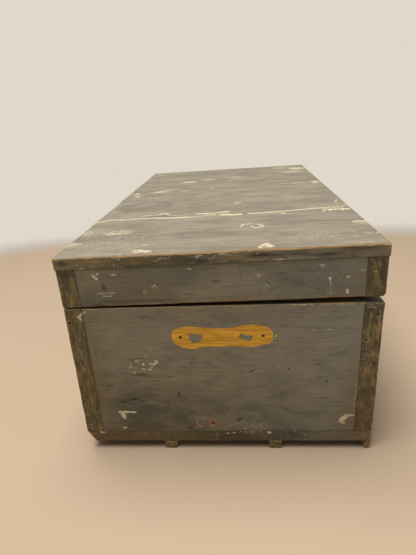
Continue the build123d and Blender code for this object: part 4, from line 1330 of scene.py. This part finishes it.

# %% [markdown]
# ## The lid's top boards
# Four boards lie across the rim. Dirt lies in their joints, except in the first one, which the
# cream band covers. The outermost edges are the most rubbed. Their undersides carry painted
# shade near their edges, for the narrow gap under the overhang.

# %% Top boards of the lid
TOP_JOINTS = {1: ("-y-z",), 2: ("+y+z",), 3: ("-y+z", "+y+z"), 4: ("-y+z", "+y-z")}
for i, joints in TOP_JOINTS.items():
    worn = {"-x+z": 1.2, "+x+z": 1.2}
    even = {"-x+z": 0.7, "+x+z": 0.7}
    if i in (1, 4):
        outer = "-y" if i == 1 else "+y"
        worn.update({outer + "+z": 1.8, "-x" + outer: 1.3, "+x" + outer: 1.3})
        even.update({outer + "+z": 0.9, "-x" + outer: 0.4, "+x" + outer: 0.8})
    board(
        f"lid_top_board_{i}", "lid", top_paint, ACROSS, 2.2, 50 + i,
        worn=worn, even=even, dark=joints, lip=("-z-y", "-z-x", "-z+x"), raw=("-z",), faded="+z",
        marks=top_marks,
    )
print("top boards:", len(TOP_JOINTS))

# %% [markdown]
# ## Iron
# The hinges, hasp, staple and handle are forged and wrought iron, dark with age and a little
# rusty. Their CAD shapes are true, so they stay and take a finish. Rust gathers in cloudy
# patches, and the metal is dull and pitted. The nails' heads are painted over.

# %% Iron and nails
def rusting(tree, often, detail):
    """Fine pits, and rust clouds that come often times a metre, deepened by the pits."""
    where = step(tree, "TexCoord", {}, output=3)
    clouds = noise(tree, where, (often, often, often), detail=detail, roughness=0.7)
    pits = noise(tree, where, (900, 900, 900), detail=3.0, roughness=0.7)
    return where, pits, sum_of(tree, clouds, times(tree, pits, 0.4))


def old_iron(name, dark, light, rust, rust_amount):
    """Dark iron with cloudy rust."""
    made = new_material(name)
    tree = made.node_tree
    where, pits, clouded = rusting(tree, 60, 6.0)
    fine = noise(tree, where, (2500, 2500, 2500), detail=2.0)
    rusty = between(tree, clouded, 0.85 - rust_amount, 0.95 - rust_amount)
    colour = blend(tree, rusty, tint(tree, dark, light, pits, 0.35, 0.7), rust)
    roughness = between(tree, rusty, 0.0, 1.0, 0.42, 0.85)
    metallic = between(tree, rusty, 0.0, 1.0, 0.75, 0.0)
    height = sum_of(tree, pits, times(tree, fine, 0.3))
    surface(tree, colour, roughness, height, 0.15 * mm, metallic=metallic)
    return made


def painted_nail(name, paint, rust):
    """A nail head under old paint, with rust breaking through."""
    made = new_material(name)
    tree = made.node_tree
    _, pits, clouded = rusting(tree, 150, 5.0)
    colour = tint(tree, paint, blend(tree, 0.4, paint, CREAM), pits, 0.35, 0.7)
    colour = tint(tree, colour, rust, clouded, 0.66, 0.76)
    surface(tree, colour, 0.6, pits, 0.3 * mm)
    return made


DARK_NAILS = (rgb(0.060, 0.046, 0.026), rgb(0.060, 0.026, 0.012))
PALE_NAILS = (rgb(0.320, 0.270, 0.190), rgb(0.240, 0.190, 0.125))
iron = old_iron("iron", rgb(0.035, 0.031, 0.028), rgb(0.09, 0.082, 0.074), rgb(0.16, 0.065, 0.025), 0.18)
finishes = {"iron": iron}
for name in ("wall_nails", "lid_corner_nails", "base_nails", "runner_nails", "lid_top_nails"):
    colours = PALE_NAILS if name == "lid_top_nails" else DARK_NAILS
    finishes[name] = painted_nail(name + "_paint", *colours)
for part in record["subparts"]:
    if part["material_slot"] in ("iron", "nail_iron"):
        node = frame["nodes"][part["node"]]
        node.data.materials.clear()
        node.data.materials.append(finishes.get(part["node"], iron))

print("finishes of iron:", len(finishes))

# %% [markdown]
# ## Studio
# The floor is a wide round dish, flat in the middle and curved up at its rim, so that it makes
# its own backdrop from every side. It is a profile spun round the upright axis.

# %% Shape of the floor
BEND_STEPS = 12


def studio_dish(name, radius, bend, wall):
    """A floor that curves up into a round wall."""
    bm = bmesh.new()
    profile = [bm.verts.new((0, 0, 0)), bm.verts.new((radius - bend, 0, 0))]
    for k in range(1, BEND_STEPS + 1):
        angle = k / BEND_STEPS * math.pi / 2
        place = (radius - bend + bend * math.sin(angle), 0, bend - bend * math.cos(angle))
        profile.append(bm.verts.new(place))
    profile.append(bm.verts.new((radius, 0, wall)))
    for first, second in zip(profile, profile[1:]):
        bm.edges.new((first, second))
    bmesh.ops.spin(
        bm,
        geom=bm.verts[:] + bm.edges[:],
        axis=(0, 0, 1),
        cent=(0, 0, 0),
        angle=math.tau,
        steps=96,
        use_merge=True,
    )
    bmesh.ops.remove_doubles(bm, verts=bm.verts, dist=0.1 * mm)
    bmesh.ops.recalc_face_normals(bm, faces=bm.faces)
    mesh = bpy.data.meshes.new(name)
    bm.to_mesh(mesh)
    bm.free()
    for face in mesh.polygons:
        face.use_smooth = True
    made = bpy.data.objects.new(name, mesh)
    bpy.context.scene.collection.objects.link(made)
    return made


studio = studio_dish("studio", radius=3.6, bend=1.2, wall=2.6)
print("faces of the studio:", len(studio.data.polygons))

# %% [markdown]
# ## Colours of floor and backdrop
# Near the trunk the floor is pale beige, and further out it turns into an off-white wall. That
# off-white is what the camera sees. For the light the far part is a dull grey, so that little
# light comes in low under the trunk.

# %% Colours of floor and backdrop
FLOOR = rgb(0.545, 0.405, 0.275)
WALL = rgb(0.40, 0.39, 0.37)
WALL_SEEN = rgb(0.750, 0.685, 0.595)
studio_paint = new_material("studio_paint")
tree = studio_paint.node_tree
where = step(tree, "TexCoord", {}, output=3)
flat = step(tree, "VectorMath", {0: where, 1: (0.71, 1.0, 0.5)}, operation="MULTIPLY")
squared = step(tree, "VectorMath", {0: flat, 1: flat}, operation="MULTIPLY")
distance = step(tree, "VectorMath", {0: squared}, output=1, operation="LENGTH")
far = between(tree, distance, 0.49, 0.95)
colour = blend(tree, far, FLOOR, WALL)
paint = step(tree, "BsdfPrincipled", {"Base Color": colour, "Roughness": 0.8, "Specular IOR Level": 0.2})
glow = step(tree, "Emission", {"Color": WALL_SEEN, "Strength": 1.0})
looks = step(tree, "LightPath", {}, output="Is Camera Ray")
for ray in ("Is Glossy Ray", "Is Transmission Ray"):
    looks = sum_of(tree, looks, step(tree, "LightPath", {}, output=ray))
both = step(tree, "MixShader", {0: times(tree, far, looks), 1: paint, 2: glow})
step(tree, "OutputMaterial", {"Surface": both})
studio.data.materials.append(studio_paint)
print("nodes of the studio's paint:", len(tree.nodes))

# %% [markdown]
# ## Light
# The room is lit softly from above and from the camera's side. A broad lamp overhead makes the
# lid paler than the end, as in the photograph, a dim one at the right lights the opening side,
# and a pale sky fills in the rest.

# %% Lamps and world
world = bpy.data.worlds.new("world")
bpy.context.scene.world = world
world.use_nodes = True
background = world.node_tree.nodes["Background"]
background.inputs["Color"].default_value = rgb(1.0, 0.99, 0.97)
background.inputs["Strength"].default_value = 0.30


def soft_lamp(name, place, target, size, power):
    """A broad square lamp that faces a point."""
    data = bpy.data.lights.new(name, "AREA")
    data.shape = "SQUARE"
    data.size = size
    data.energy = power
    lamp = bpy.data.objects.new(name, data)
    lamp.location = place
    lamp.rotation_euler = (Vector(target) - Vector(place)).to_track_quat("-Z", "Y").to_euler()
    bpy.context.scene.collection.objects.link(lamp)


soft_lamp("lamp_above", (-0.4, -0.1, 2.4), (0, -0.1, 0.3), size=1.3, power=43)
soft_lamp("lamp_front", (-0.45, -1.15, 2.5), (0, -0.6, 0.1), size=1.0, power=27)
soft_lamp("lamp_side", (1.9, 0.5, 1.9), (0, 0, 0.15), size=1.4, power=7)
print("lamps:", len(bpy.data.lights))
